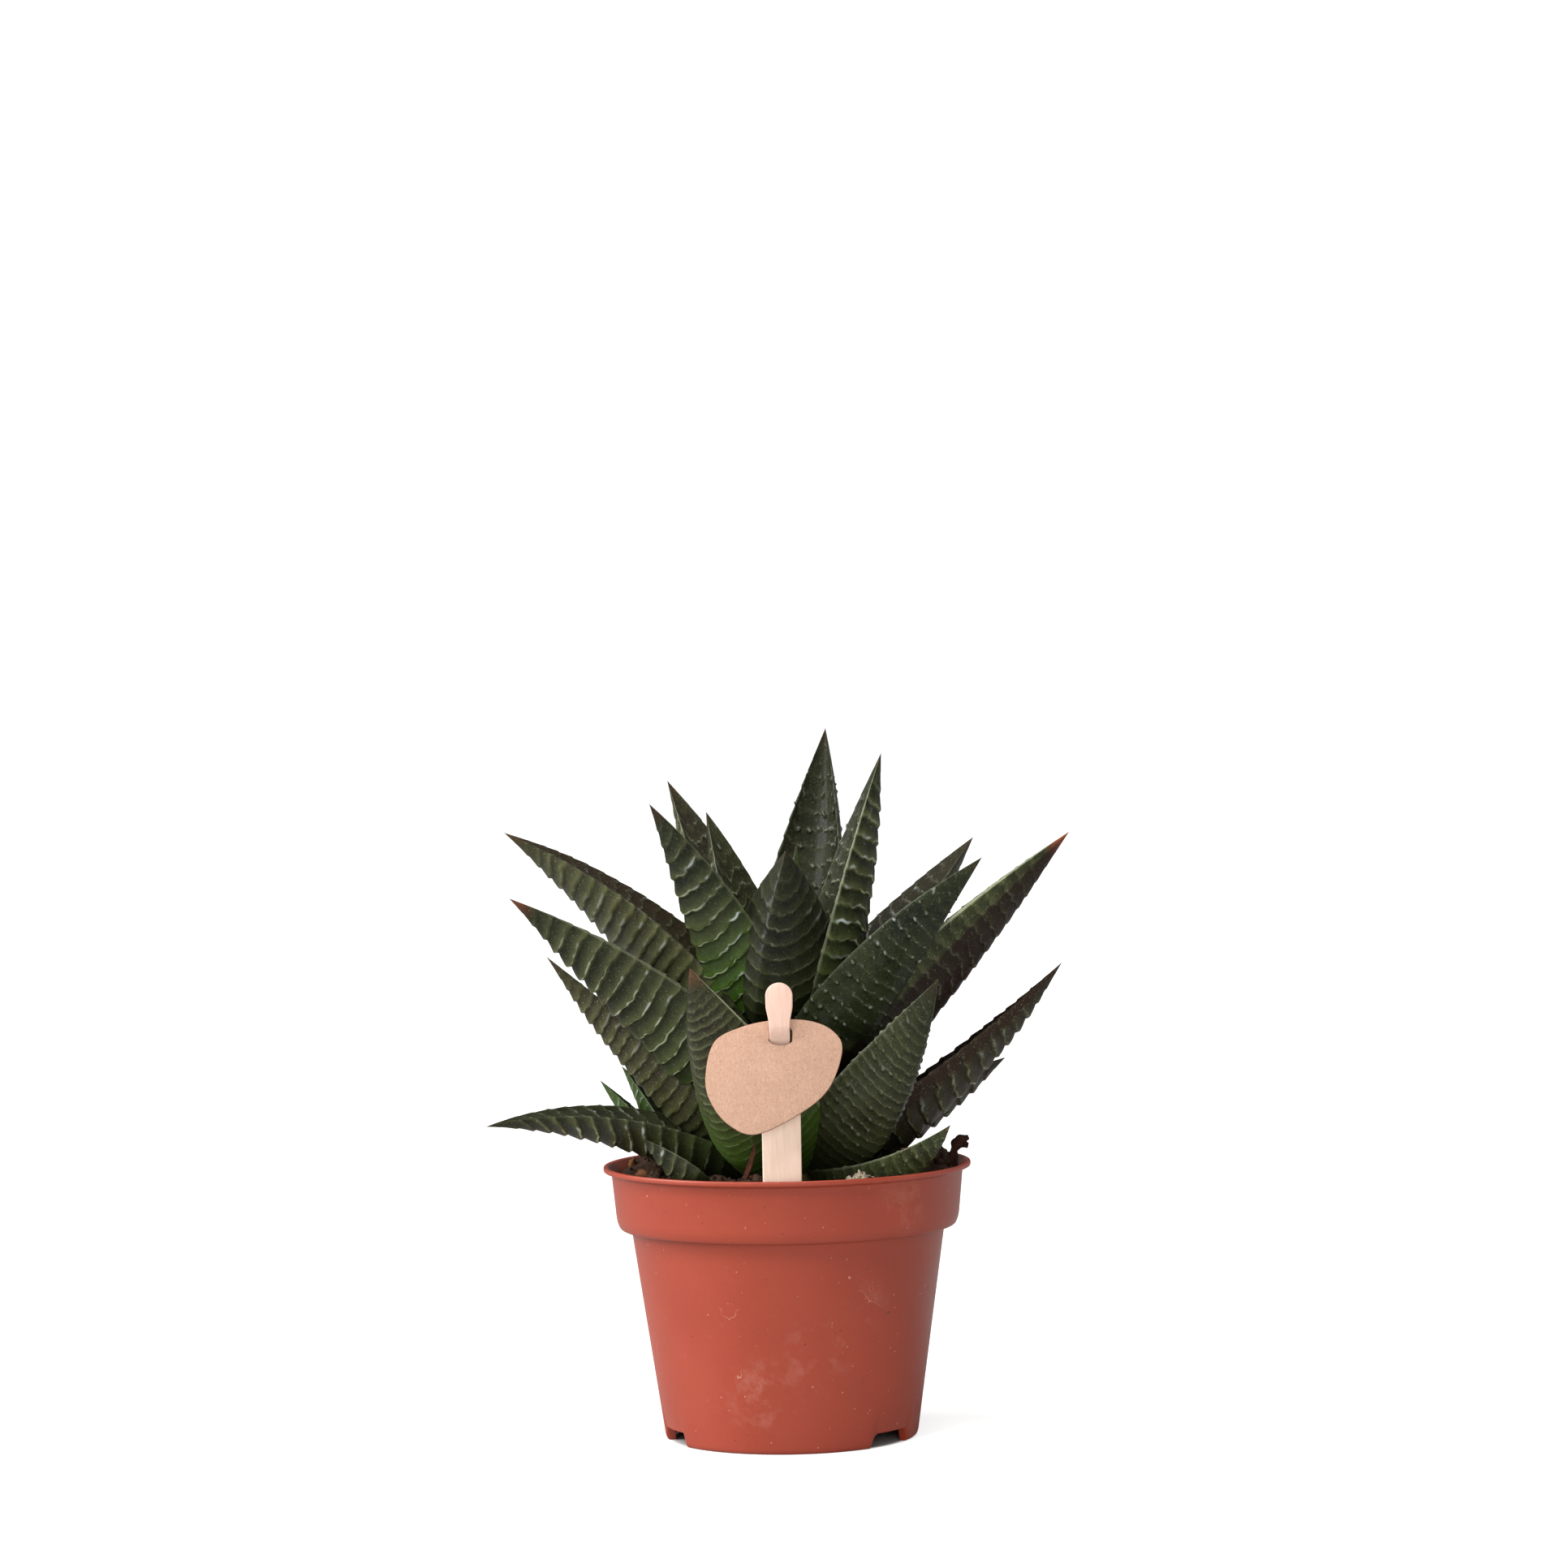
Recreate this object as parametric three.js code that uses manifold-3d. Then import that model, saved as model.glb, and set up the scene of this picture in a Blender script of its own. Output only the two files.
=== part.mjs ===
// A potted fairy washboard, Haworthia limifolia: a small succulent with stiff, ridged leaves
// in a terracotta-coloured nursery pot, with a wooden plant stick and a bare kraft tag.
//
// Millimetres, +Z up. The origin is the middle of the pot's base on the surface it stands on,
// the viewer stands on the -Y side, and +X is to the viewer's right.

import * as THREE from 'three';
import { mergeVertices } from 'three/addons/utils/BufferGeometryUtils.js';
import Module from 'manifold-3d';

const wasm = await Module();
wasm.setup();

const RAD = Math.PI / 180;
const GAP = 0.3;

// Pot: a thin moulded cup with a wider band under its lip
const POT_SEGMENTS = 40;
const POT_HEIGHT = 41.2;
const LIP_R = 27.7;
const BAND_TOP_R = 26.6;
const BAND_FOOT_R = 25.8;
const BAND_FOOT_Z = 32.6;
const WALL_TOP_R = 23.6;
const WALL_TOP_Z = 31.4;
const FOOT_R = 19.0;
const WALL = 0.8;
const FOOT_RING = 1.5;
const FLOOR_Z = 2.4;
const FLOOR_R = 17.8;
const PAD_R = 5.0;
const NOTCH = { height: 2.2, arc: 24, depth: 3, middles: [-38.5, -158.5, 81.5] };
const DRAIN = { count: 6, ring: 11.5, radius: 2.0, sides: 12 };

// Compost: fills the pot to a little under the lip, dished round the plant
const SOIL_EDGE_Z = 38.7;
const SOIL_MID_Z = 37.7;
const SOIL_DISH_R = 17.5;
const SOIL_RINGS = [21, 17, 13, 9, 4.5];
const SOIL_BUMP = 0.35;
const SOIL_SIDES = 30;
const SOIL_CLEAR = GAP + 0.15;

// Rootstock: the short thick stem that the leaves grow from, standing in a plain hole
const CROWN = {
  x: 0, y: 0, profile: [[3, 27], [6.6, 33], [7, 44], [5.4, 50], [3.8, 58], [2, 64], [0.8, 66]],
};
const PUP = { x: -14, y: 6, profile: [[0.9, 31], [1.5, 34], [1.5, 38.8], [0.7, 40.4]] };
const STEM_SIDES = 16;

// Wooden stick, leaning out a little, and the tag that hangs on its tongue
const STICK = {
  x: -0.7, thickness: 0.9, lipY: -23.0, lean: 0.08, bend: 2.2, bendFrom: 60.0, bendTo: 64.0,
};
// Height and half width of the stick from its buried point up to the round end of its head
const STICK_OUTLINE = [
  [33.4, 2.3], [34.4, 2.85], [46.0, 2.85], [56.0, 2.85], [58.2, 2.2], [59.6, 1.5], [60.6, 1.5],
  [61.3, 1.5], [62.0, 1.5], [62.7, 1.5], [63.4, 1.5], [64.3, 1.5], [65.2, 1.7], [66.4, 1.95],
  [67.6, 1.95], [68.6, 1.7], [69.4, 1.25], [69.9, 0.75], [70.1, 0.3],
];
const TAG = { y: -25.75, slotZ: 62.2, tilt: 8, thickness: 0.8, cornerSteps: 3 };
const TAG_OUTLINE = [
  [-11.6, 56.4], [-10.3, 61.4], [-6.6, 63.5], [-1.8, 64.5], [3.4, 64.4], [7.0, 62.9],
  [8.4, 60.1], [6.4, 54.6], [2.2, 51.0], [-4.4, 48.0], [-8.4, 49.5], [-10.9, 52.8],
];
const SLOT = { halfWidth: 1.9, from: 60.8, to: 63.6 };

// A scrap of bark that stands in the compost by the lip
const BARK = {
  foot: [23.0, 1.5, 34.5], head: [26.2, 2.5, 46.4], radii: [1.3, 0.9, 0.7, 1.2, 0.8], sides: 6,
};

// Leaf blade shared by every leaf: the widest place, the taper, the depth and the washboard
const BLADE = {
  peak: 0.22, baseWidth: 0.84, taper: 1.9, depth: 0.46, depthTaper: 2.1, baseDepth: 0.6,
  fullAt: 0.25, channel: 0.26, flank: 0.55, keelShare: 0.5,
};
const RIDGE = { pitch: 2.6, height: 0.34, tooth: 0.26, inner: 0.4, from: 0.17, to: 0.9 };
const LINE_STEPS = 120;

// Leaves from the heart outwards. A leaf's base sits `out` from the stem's axis at height
// `seat`; it points along `heading` (degrees from +X towards +Y), leaves the stem at `rise`
// above level, and `arch` and `sweep` turn it up and round by its tip. `roll` twists the
// blade, and `late` is how late it bends: below 1 most of the bend is near the base.
const LEAVES = [
  { heading: -22, seat: 66, out: 0.8, rise: 84, arch: 3, length: 23.3, width: 7 },
  { heading: -87, seat: 62, out: 2, rise: 76, arch: -16, length: 29.4, width: 17 },
  { heading: 60, seat: 62, out: 3, rise: 67, arch: 14, length: 46, width: 16 },
  { heading: -11, seat: 61, out: 3, rise: 77, arch: -6, length: 43.6, width: 14, roll: -22 },
  { heading: 139, seat: 61, out: 3, rise: 80, arch: -16, length: 35.3, width: 14 },
  { heading: -148, seat: 60, out: 3, rise: 78, arch: -27, length: 41.4, width: 16 },
  { heading: 134, seat: 58, out: 3, rise: 76, arch: -23, length: 46.6, width: 15 },
  { heading: 175, seat: 58, out: 4, rise: 69, arch: -44, length: 51.8, width: 18, roll: 4 },
  { heading: -28, seat: 57, out: 4, rise: 62, arch: -26, length: 42.6, width: 16 },
  { heading: 34, seat: 57, out: 4, rise: 52, arch: -11, length: 45.4, width: 16 },
  { heading: 0, seat: 54, out: 4, rise: 52, arch: -15, length: 53.8, width: 19, roll: 12 },
  { heading: 95, seat: 54, out: 4, rise: 58, arch: -24, length: 42, width: 16 },
  { heading: -161, seat: 52, out: 5, rise: 54, arch: -24, length: 48.7, width: 18, roll: -8 },
  { heading: 125, seat: 49, out: 5, rise: 44, arch: -20, length: 41, width: 16 },
  { heading: 60, seat: 48, out: 5, rise: 42, arch: -16, length: 42, width: 16 },
  { heading: -175, seat: 44, out: 7, rise: 46, arch: 0, length: 40.5, width: 16, roll: -10 },
  { heading: 3, seat: 43, out: 7, rise: 28, arch: 18, length: 44.9, width: 17, roll: 10, late: 0.8 },
  { heading: 22, seat: 43, out: 6, rise: 22, arch: 0, length: 33, width: 13 },
  { heading: -108, seat: 43, out: 5, rise: 34, arch: 35, sweep: -36, length: 36.8, width: 19, late: 0.8 },
  { heading: -44, seat: 43, out: 7, rise: 41, arch: 12, length: 36.4, width: 17, late: 0.8 },
  { heading: 84, seat: 43, out: 6, rise: 26, arch: -14, length: 38, width: 14 },
  { heading: 117, seat: 42, out: 6, rise: 22, arch: -14, length: 33, width: 14 },
  { heading: -167, seat: 41, out: 6, rise: 32, arch: -43, length: 41.5, width: 14, roll: 8, late: 1 },
  { heading: -33, seat: 39.5, out: 7, rise: 0, arch: 42, length: 24, width: 12, late: 1 },
];

// The young plant beside it has four small leaves of its own
const PUP_LEAVES = [
  { heading: 157, seat: 39, out: 1.2, rise: 76, arch: -22, length: 19.1, width: 6.5 },
  { heading: 60, seat: 39, out: 1.2, rise: 70, arch: -20, length: 12, width: 6 },
  { heading: 176, seat: 39, out: 1.4, rise: 56, arch: -12, length: 19.5, width: 6.5 },
  { heading: -146, seat: 39, out: 1.4, rise: 46, arch: -18, length: 10, width: 6.5 },
];

const FINISH = {
  pot: { color: 0xb8644b, roughness: 0.5, metalness: 0 },
  soil: { color: 0x2a1f1a, roughness: 0.95, metalness: 0 },
  bark: { color: 0x4a2d20, roughness: 0.9, metalness: 0 },
  stick: { color: 0xf3dcc3, roughness: 0.7, metalness: 0 },
  tag: { color: 0xdcb795, roughness: 0.85, metalness: 0 },
  stem: { color: 0x5c5a35, roughness: 0.7, metalness: 0 },
  leaf: { color: 0x3b4a36, roughness: 0.4, metalness: 0 },
  pupLeaf: { color: 0x55733f, roughness: 0.45, metalness: 0 },
};

// Solids from meshes and back

function toSolid(geometry) {
  const bare = new THREE.BufferGeometry();
  bare.setAttribute('position', geometry.getAttribute('position'));
  if (geometry.index) bare.setIndex(geometry.index);
  const merged = mergeVertices(bare, 1e-5);
  const triangles = [];
  const index = merged.index.array;
  for (let i = 0; i < index.length; i += 3) {
    const [a, b, c] = index.slice(i, i + 3);
    if (a !== b && b !== c && c !== a) triangles.push(a, b, c);
  }
  return new wasm.Manifold(new wasm.Mesh({
    numProp: 3,
    vertProperties: new Float32Array(merged.attributes.position.array),
    triVerts: new Uint32Array(triangles),
  }));
}

function toMesh(name, solid, finish) {
  const { vertProperties, triVerts, numProp } = solid.getMesh();
  const positions = [];
  for (let i = 0; i < vertProperties.length; i += numProp) {
    positions.push(...vertProperties.slice(i, i + 3));
  }
  const geometry = new THREE.BufferGeometry();
  geometry.setAttribute('position', new THREE.Float32BufferAttribute(positions, 3));
  geometry.setIndex([...triVerts]);
  geometry.computeVertexNormals();
  const mesh = new THREE.Mesh(geometry, new THREE.MeshStandardMaterial(finish));
  mesh.name = name;
  return mesh;
}

function largestPiece(solid) {
  return solid.decompose().reduce((best, piece) => (piece.volume() > best.volume() ? piece : best));
}

// Closed body through a list of rings with equal numbers of points, ends closed by fans
function ringsToGeometry(rings) {
  const sides = rings[0].length;
  const positions = rings.flat().flatMap((point) => [point.x, point.y, point.z]);
  const index = [];
  for (let row = 0; row < rings.length - 1; row += 1) {
    for (let side = 0; side < sides; side += 1) {
      const here = row * sides + side;
      const next = row * sides + ((side + 1) % sides);
      index.push(here, next, here + sides, next, next + sides, here + sides);
    }
  }
  for (const [ring, first] of [[rings[0], 0], [rings.at(-1), (rings.length - 1) * sides]]) {
    const middle = ring.reduce((sum, point) => sum.add(point), new THREE.Vector3()).divideScalar(sides);
    const hub = positions.length / 3;
    positions.push(middle.x, middle.y, middle.z);
    for (let side = 0; side < sides; side += 1) {
      const pair = [first + side, first + ((side + 1) % sides)];
      if (first === 0) pair.reverse();
      index.push(pair[0], pair[1], hub);
    }
  }
  const geometry = new THREE.BufferGeometry();
  geometry.setAttribute('position', new THREE.Float32BufferAttribute(positions, 3));
  geometry.setIndex(index);
  return geometry;
}

// Turned body: a closed profile of [radius, height] pairs, swept round the Z axis
function turned(profile, segments) {
  const points = [...profile, profile[0]].map(([radius, height]) => new THREE.Vector2(radius, height));
  return new THREE.LatheGeometry(points, segments).rotateX(Math.PI / 2);
}

// Pot

function potProfile() {
  const ringR = FOOT_R - FOOT_RING;
  return [
    [0, 0], [PAD_R, 0], [PAD_R, FLOOR_Z], [ringR, FLOOR_Z], [ringR, 0], [FOOT_R, 0],
    [WALL_TOP_R, WALL_TOP_Z], [BAND_FOOT_R - 0.5, BAND_FOOT_Z - 0.7], [BAND_FOOT_R, BAND_FOOT_Z],
    [BAND_TOP_R, POT_HEIGHT - 1.8], [LIP_R, POT_HEIGHT - 0.8], [LIP_R, POT_HEIGHT],
    [LIP_R - WALL, POT_HEIGHT], [BAND_TOP_R - WALL, POT_HEIGHT - 1.5],
    [BAND_FOOT_R - WALL, BAND_FOOT_Z + 0.3], [WALL_TOP_R - WALL, WALL_TOP_Z + 0.4],
    [FLOOR_R, FLOOR_Z + WALL], [0, FLOOR_Z + WALL],
  ];
}

function makePot() {
  let pot = toSolid(turned(potProfile(), POT_SEGMENTS));
  for (const middle of NOTCH.middles) {
    const width = 2 * FOOT_R * Math.sin((NOTCH.arc / 2) * RAD);
    const cutter = new THREE.BoxGeometry(2 * NOTCH.depth, width, 2 * NOTCH.height);
    cutter.translate(FOOT_R, 0, 0).rotateZ(middle * RAD);
    pot = pot.subtract(toSolid(cutter));
  }
  for (let hole = 0; hole < DRAIN.count; hole += 1) {
    const angle = (hole / DRAIN.count) * 2 * Math.PI;
    const drill = new THREE.CylinderGeometry(DRAIN.radius, DRAIN.radius, 2 * FLOOR_Z, DRAIN.sides);
    drill.rotateX(Math.PI / 2);
    drill.translate(DRAIN.ring * Math.cos(angle), DRAIN.ring * Math.sin(angle), FLOOR_Z);
    pot = pot.subtract(toSolid(drill));
  }
  return pot;
}

// Compost

function soilBump(x, y) {
  return SOIL_BUMP * (Math.sin(0.9 * x + 0.4 * y) + Math.sin(1.1 * y - 0.5 * x + 1) * Math.cos(0.7 * x));
}

function makeSoil(stems, buried) {
  const top = SOIL_RINGS.map((radius) => [radius, radius > SOIL_DISH_R ? SOIL_EDGE_Z : SOIL_MID_Z]);
  const profile = [
    [0, FLOOR_Z + WALL + GAP], [FLOOR_R - SOIL_CLEAR, FLOOR_Z + WALL + GAP],
    [WALL_TOP_R - WALL - SOIL_CLEAR, WALL_TOP_Z + 0.4],
    [BAND_FOOT_R - WALL - SOIL_CLEAR, BAND_FOOT_Z + 0.8],
    [BAND_FOOT_R - 0.5, SOIL_EDGE_Z], ...top, [0, SOIL_MID_Z],
  ];
  const geometry = turned(profile, SOIL_SIDES);
  const position = geometry.getAttribute('position');
  for (let i = 0; i < position.count; i += 1) {
    if (position.getZ(i) > SOIL_MID_Z - 0.1) {
      position.setZ(i, position.getZ(i) + soilBump(position.getX(i), position.getY(i)));
    }
  }
  let soil = toSolid(geometry);
  for (const stem of stems) soil = soil.subtract(stemSolid(stem, GAP));
  for (const piece of buried) soil = soil.subtract(piece);
  return largestPiece(soil);
}

// Stems

function stemSolid(stem, grow) {
  const [first, last] = [stem.profile[0], stem.profile.at(-1)];
  const profile = [
    [0, first[1] - grow], ...stem.profile.map(([radius, height]) => [radius + grow, height]),
    [0, last[1] + 0.4 + grow],
  ];
  profile[1][1] -= grow;
  return toSolid(turned(profile, STEM_SIDES).translate(stem.x, stem.y, 0));
}

// Leaves

function leafFrame(leaf, s) {
  const bent = s ** (leaf.late ?? 0.6);
  const rise = (leaf.rise + leaf.arch * bent) * RAD;
  const heading = (leaf.heading + (leaf.sweep ?? 0) * bent) * RAD;
  const roll = (leaf.roll ?? 0) * RAD;
  const along = new THREE.Vector3(
    Math.cos(rise) * Math.cos(heading), Math.cos(rise) * Math.sin(heading), Math.sin(rise));
  const level = new THREE.Vector3(-Math.sin(heading), Math.cos(heading), 0);
  const side = level.clone().applyAxisAngle(along, -roll);
  const face = new THREE.Vector3().crossVectors(along, side);
  return { along, side, face };
}

// Middle line of the blade, walked in equal steps from its seat to its tip
function leafLine(leaf, stem, steps) {
  const heading = leaf.heading * RAD;
  const start = new THREE.Vector3(
    stem.x + leaf.out * Math.cos(heading), stem.y + leaf.out * Math.sin(heading), leaf.seat);
  const points = [start];
  for (let step = 0; step < steps; step += 1) {
    const { along } = leafFrame(leaf, (step + 0.5) / steps);
    points.push(points.at(-1).clone().addScaledVector(along, leaf.length / steps));
  }
  return points;
}

function bladeSize(leaf, s) {
  const widening = Math.sin(Math.min(s / BLADE.peak, 1) * Math.PI / 2);
  const swell = BLADE.baseWidth + (1 - BLADE.baseWidth) * widening;
  const half = 0.5 * leaf.width * swell * (1 - s ** BLADE.taper);
  const fill = BLADE.baseDepth + (1 - BLADE.baseDepth) * Math.min(s / BLADE.fullAt, 1);
  const depth = BLADE.depth * leaf.width * fill * (1 - s ** BLADE.depthTaper);
  return { half, depth };
}

// Six-sided section: two margins, the channel's bottom between them, two flanks and the keel.
// A grown section has blunt margins, so that it wraps the plain one all round.
function leafRing(leaf, point, s, crest, grow) {
  const { side, face } = leafFrame(leaf, s);
  const { half, depth } = bladeSize(leaf, s);
  const flank = BLADE.flank;
  const lift = BLADE.channel * half;
  const round = (1 - BLADE.keelShare) * Math.sqrt(1 - flank ** 2) + BLADE.keelShare * (1 - flank);
  const edge = half + crest * RIDGE.tooth + grow;
  const rib = crest * RIDGE.height + grow;
  const place = (across, up) => point.clone().addScaledVector(side, across).addScaledVector(face, up);
  const blunt = grow ? [-grow, grow] : [0];
  return [
    ...blunt.map((up) => place(edge, lift + up)),
    place(0, crest * RIDGE.inner * RIDGE.height + grow),
    ...blunt.map((up) => place(-edge, lift - up)),
    place(-flank * half - 0.5 * rib, lift * flank ** 2 - depth * round - rib),
    place(0, -depth - rib),
    place(flank * half + 0.5 * rib, lift * flank ** 2 - depth * round - rib),
  ];
}

// Stations along the blade: plain at the base, then valley and crest by turns, then the tip
function ridgeStations(leaf) {
  const stations = [[0, 0]];
  const half = RIDGE.pitch / leaf.length / 2;
  let crest = 0;
  for (let s = RIDGE.from; s < RIDGE.to; s += half) {
    stations.push([s, crest * (1 - s) ** 0.25]);
    crest = 1 - crest;
  }
  stations.push([0.95, 0], [0.995, 0]);
  return stations;
}

function leafSolid(leaf, stem, grow = 0) {
  const line = leafLine(leaf, stem, LINE_STEPS);
  const plain = [0, 0.08, 0.16, 0.25, 0.38, 0.52, 0.66, 0.8, 0.92, 0.99];
  const stations = grow ? plain.map((s) => [s, 1]) : ridgeStations(leaf);
  const rings = stations.map(([s, crest]) => {
    const exact = s * LINE_STEPS;
    const low = Math.min(Math.floor(exact), LINE_STEPS - 1);
    const point = line[low].clone().lerp(line[low + 1], exact - low);
    if (s === 0) point.addScaledVector(leafFrame(leaf, 0).along, -grow);
    return leafRing(leaf, point, s, crest, grow);
  });
  return toSolid(ringsToGeometry(rings));
}

// Each leaf is trimmed where it meets the stem, the compost and the leaves inside it, so
// that it clasps them with a small gap, as the real leaves press on one another
function makeRosette(leaves, stem, others) {
  const blocks = [stemSolid(stem, GAP), ...others];
  const made = [];
  for (const leaf of leaves) {
    let solid = leafSolid(leaf, stem);
    for (const block of blocks) solid = solid.subtract(block);
    made.push(largestPiece(solid));
    blocks.push(leafSolid(leaf, stem, GAP));
  }
  return { made, blocks };
}

// Everything below the compost's surface, so that no leaf dips into it
function compostBlock() {
  const disc = (radius, top, height) => {
    const cylinder = new THREE.CylinderGeometry(radius, radius, height, SOIL_SIDES);
    return toSolid(cylinder.rotateX(Math.PI / 2).translate(0, 0, top - height / 2));
  };
  const height = SOIL_EDGE_Z - FLOOR_Z;
  const top = SOIL_MID_Z + 2 * SOIL_BUMP + GAP;
  const edgeTop = top + SOIL_EDGE_Z - SOIL_MID_Z;
  const ring = disc(LIP_R, edgeTop, height).subtract(disc(SOIL_DISH_R - 1, edgeTop + 1, height + 2));
  return ring.add(disc(SOIL_DISH_R + 0.5, top, height));
}

// Stick, tag and bark

function stickY(z) {
  const bent = THREE.MathUtils.smoothstep(z, STICK.bendFrom, STICK.bendTo);
  return STICK.lipY - STICK.lean * (z - POT_HEIGHT) - STICK.bend * bent;
}

function stickSolid(grow) {
  const rings = STICK_OUTLINE.map(([z, half], i) => {
    const below = STICK_OUTLINE[Math.max(i - 1, 0)][0];
    const above = STICK_OUTLINE[Math.min(i + 1, STICK_OUTLINE.length - 1)][0];
    const slope = (stickY(above) - stickY(below)) / (above - below);
    const deep = (STICK.thickness / 2) * Math.hypot(1, slope) + grow;
    const wide = half + grow;
    const corner = (x, y) => new THREE.Vector3(STICK.x + x, stickY(z) + y, z);
    return [corner(-wide, -deep), corner(wide, -deep), corner(wide, deep), corner(-wide, deep)];
  });
  if (grow) {
    for (const corner of rings[0]) corner.z -= grow;
  }
  return toSolid(ringsToGeometry(rings));
}

function tagSolid() {
  const points = TAG_OUTLINE.map(([x, z]) => new THREE.Vector3(x, z, 0));
  const rim = new THREE.CatmullRomCurve3(points, true).getPoints(TAG_OUTLINE.length * TAG.cornerSteps);
  const shape = new THREE.Shape(rim.slice(0, -1).map((point) => new THREE.Vector2(point.x, point.y)));
  const [left, right] = [STICK.x - SLOT.halfWidth, STICK.x + SLOT.halfWidth];
  shape.holes.push(new THREE.Path([
    new THREE.Vector2(left, SLOT.from), new THREE.Vector2(right, SLOT.from),
    new THREE.Vector2(right, SLOT.to), new THREE.Vector2(left, SLOT.to),
  ]));
  const card = new THREE.ExtrudeGeometry(shape, { depth: TAG.thickness, bevelEnabled: false });
  card.translate(0, -TAG.slotZ, -TAG.thickness / 2).rotateX(Math.PI / 2 - TAG.tilt * RAD);
  return toSolid(card.translate(0, TAG.y, TAG.slotZ));
}

function barkSolid(grow) {
  const [foot, head] = [new THREE.Vector3(...BARK.foot), new THREE.Vector3(...BARK.head)];
  const rings = BARK.radii.map((radius, row) => {
    const middle = foot.clone().lerp(head, row / (BARK.radii.length - 1));
    return Array.from({ length: BARK.sides }, (_, side) => {
      const angle = (side / BARK.sides) * 2 * Math.PI;
      const reach = radius * (0.8 + 0.2 * Math.sin(3 * angle + row)) + grow;
      return new THREE.Vector3(
        middle.x + reach * Math.cos(angle), middle.y + reach * Math.sin(angle), middle.z);
    });
  });
  return toSolid(ringsToGeometry(rings));
}

// Assembly

const model = new THREE.Group();
const add = (name, solid, finish) => model.add(toMesh(name, solid, finish));
const number = (i) => String(i + 1).padStart(2, '0');

const compost = compostBlock();
const main = makeRosette(LEAVES, CROWN, [compost]);
const pup = makeRosette(PUP_LEAVES, PUP, [compost, ...main.blocks]);

add('pot', makePot(), FINISH.pot);
add('soil', makeSoil([CROWN, PUP], [stickSolid(GAP), barkSolid(GAP)]), FINISH.soil);
add('rootstock', stemSolid(CROWN, 0), FINISH.stem);
add('pup_rootstock', stemSolid(PUP, 0), FINISH.stem);
main.made.forEach((solid, i) => add(`leaf_${number(i)}`, solid, FINISH.leaf));
pup.made.forEach((solid, i) => add(`pup_leaf_${number(i)}`, solid, FINISH.pupLeaf));
add('stick', stickSolid(0), FINISH.stick);
add('tag', tagSolid(), FINISH.tag);
add('bark', barkSolid(0), FINISH.bark);

export default model;
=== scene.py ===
# %% [markdown]
# # A potted fairy washboard
#
# The real object is a small succulent, Haworthia limifolia, in a nursery pot of
# terracotta-coloured plastic. Its stiff leaves carry raised cross ridges, like an old
# washboard, and a wooden stick beside it holds a bare kraft tag.
#
# The frame that this script loads holds every piece at its true size and place. The cells
# below dress it: fine leaves grown by the same rule as the frame's plain ones, a moulded
# pot, loose compost, and a finish for each. Lengths are written in millimetres and
# multiplied by MM where Blender needs metres.

# %% Load the frame
import math
from types import SimpleNamespace

import bmesh
import bpy
import numpy as np
from mathutils import Matrix, Vector


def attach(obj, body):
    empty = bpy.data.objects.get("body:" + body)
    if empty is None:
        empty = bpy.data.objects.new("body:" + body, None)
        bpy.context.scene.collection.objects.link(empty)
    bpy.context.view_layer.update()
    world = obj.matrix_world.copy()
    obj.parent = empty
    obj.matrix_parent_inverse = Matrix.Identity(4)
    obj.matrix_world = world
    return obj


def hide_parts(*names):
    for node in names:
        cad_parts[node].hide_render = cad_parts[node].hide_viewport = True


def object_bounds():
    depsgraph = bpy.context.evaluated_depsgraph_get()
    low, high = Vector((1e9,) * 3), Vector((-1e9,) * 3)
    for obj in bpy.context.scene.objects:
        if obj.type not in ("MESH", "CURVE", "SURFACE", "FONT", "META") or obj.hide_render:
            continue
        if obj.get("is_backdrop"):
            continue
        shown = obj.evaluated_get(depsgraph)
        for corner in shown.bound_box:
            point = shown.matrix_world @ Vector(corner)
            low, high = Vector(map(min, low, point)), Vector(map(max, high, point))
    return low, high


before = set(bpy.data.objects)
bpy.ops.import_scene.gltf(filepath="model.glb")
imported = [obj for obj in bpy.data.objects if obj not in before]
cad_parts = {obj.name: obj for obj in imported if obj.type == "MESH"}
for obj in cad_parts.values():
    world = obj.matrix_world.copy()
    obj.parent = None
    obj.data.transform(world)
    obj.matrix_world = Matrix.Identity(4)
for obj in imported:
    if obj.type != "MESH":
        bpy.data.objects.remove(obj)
frame_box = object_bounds()
MM = 0.001
RAD = math.pi / 180
print("frame holds", len(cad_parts), "pieces, box", [tuple(c) for c in frame_box])

# %% [markdown]
# ## Small helpers
#
# Colours are easiest to judge as the 0 to 255 numbers that a paint program shows, but
# Blender's shaders work with light, so each is changed to a linear value here. Meshes are
# made from plain lists of corners and faces; a closed mesh whose faces point inwards has
# a negative volume, which is how the helper knows to turn them round. Most pieces here are
# a stack of rings closed at both ends, so one helper makes the corners and faces of such a
# tube.

# %% Colour and mesh helpers
def paint(red, green, blue):
    parts = [v / 255 for v in (red, green, blue)]
    return tuple(((p + 0.055) / 1.055) ** 2.4 if p > 0.04045 else p / 12.92 for p in parts) + (1.0,)


def new_piece(name, points, faces, smooth=True):
    mesh = bpy.data.meshes.new(name)
    mesh.from_pydata([tuple(p) for p in points], [], faces)
    body = bmesh.new()
    body.from_mesh(mesh)
    if body.calc_volume(signed=True) < 0:
        bmesh.ops.reverse_faces(body, faces=body.faces[:])
    body.to_mesh(mesh)
    body.free()
    mesh.polygons.foreach_set("use_smooth", [smooth] * len(mesh.polygons))
    piece = bpy.data.objects.new(name, mesh)
    bpy.context.scene.collection.objects.link(piece)
    return piece


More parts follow.
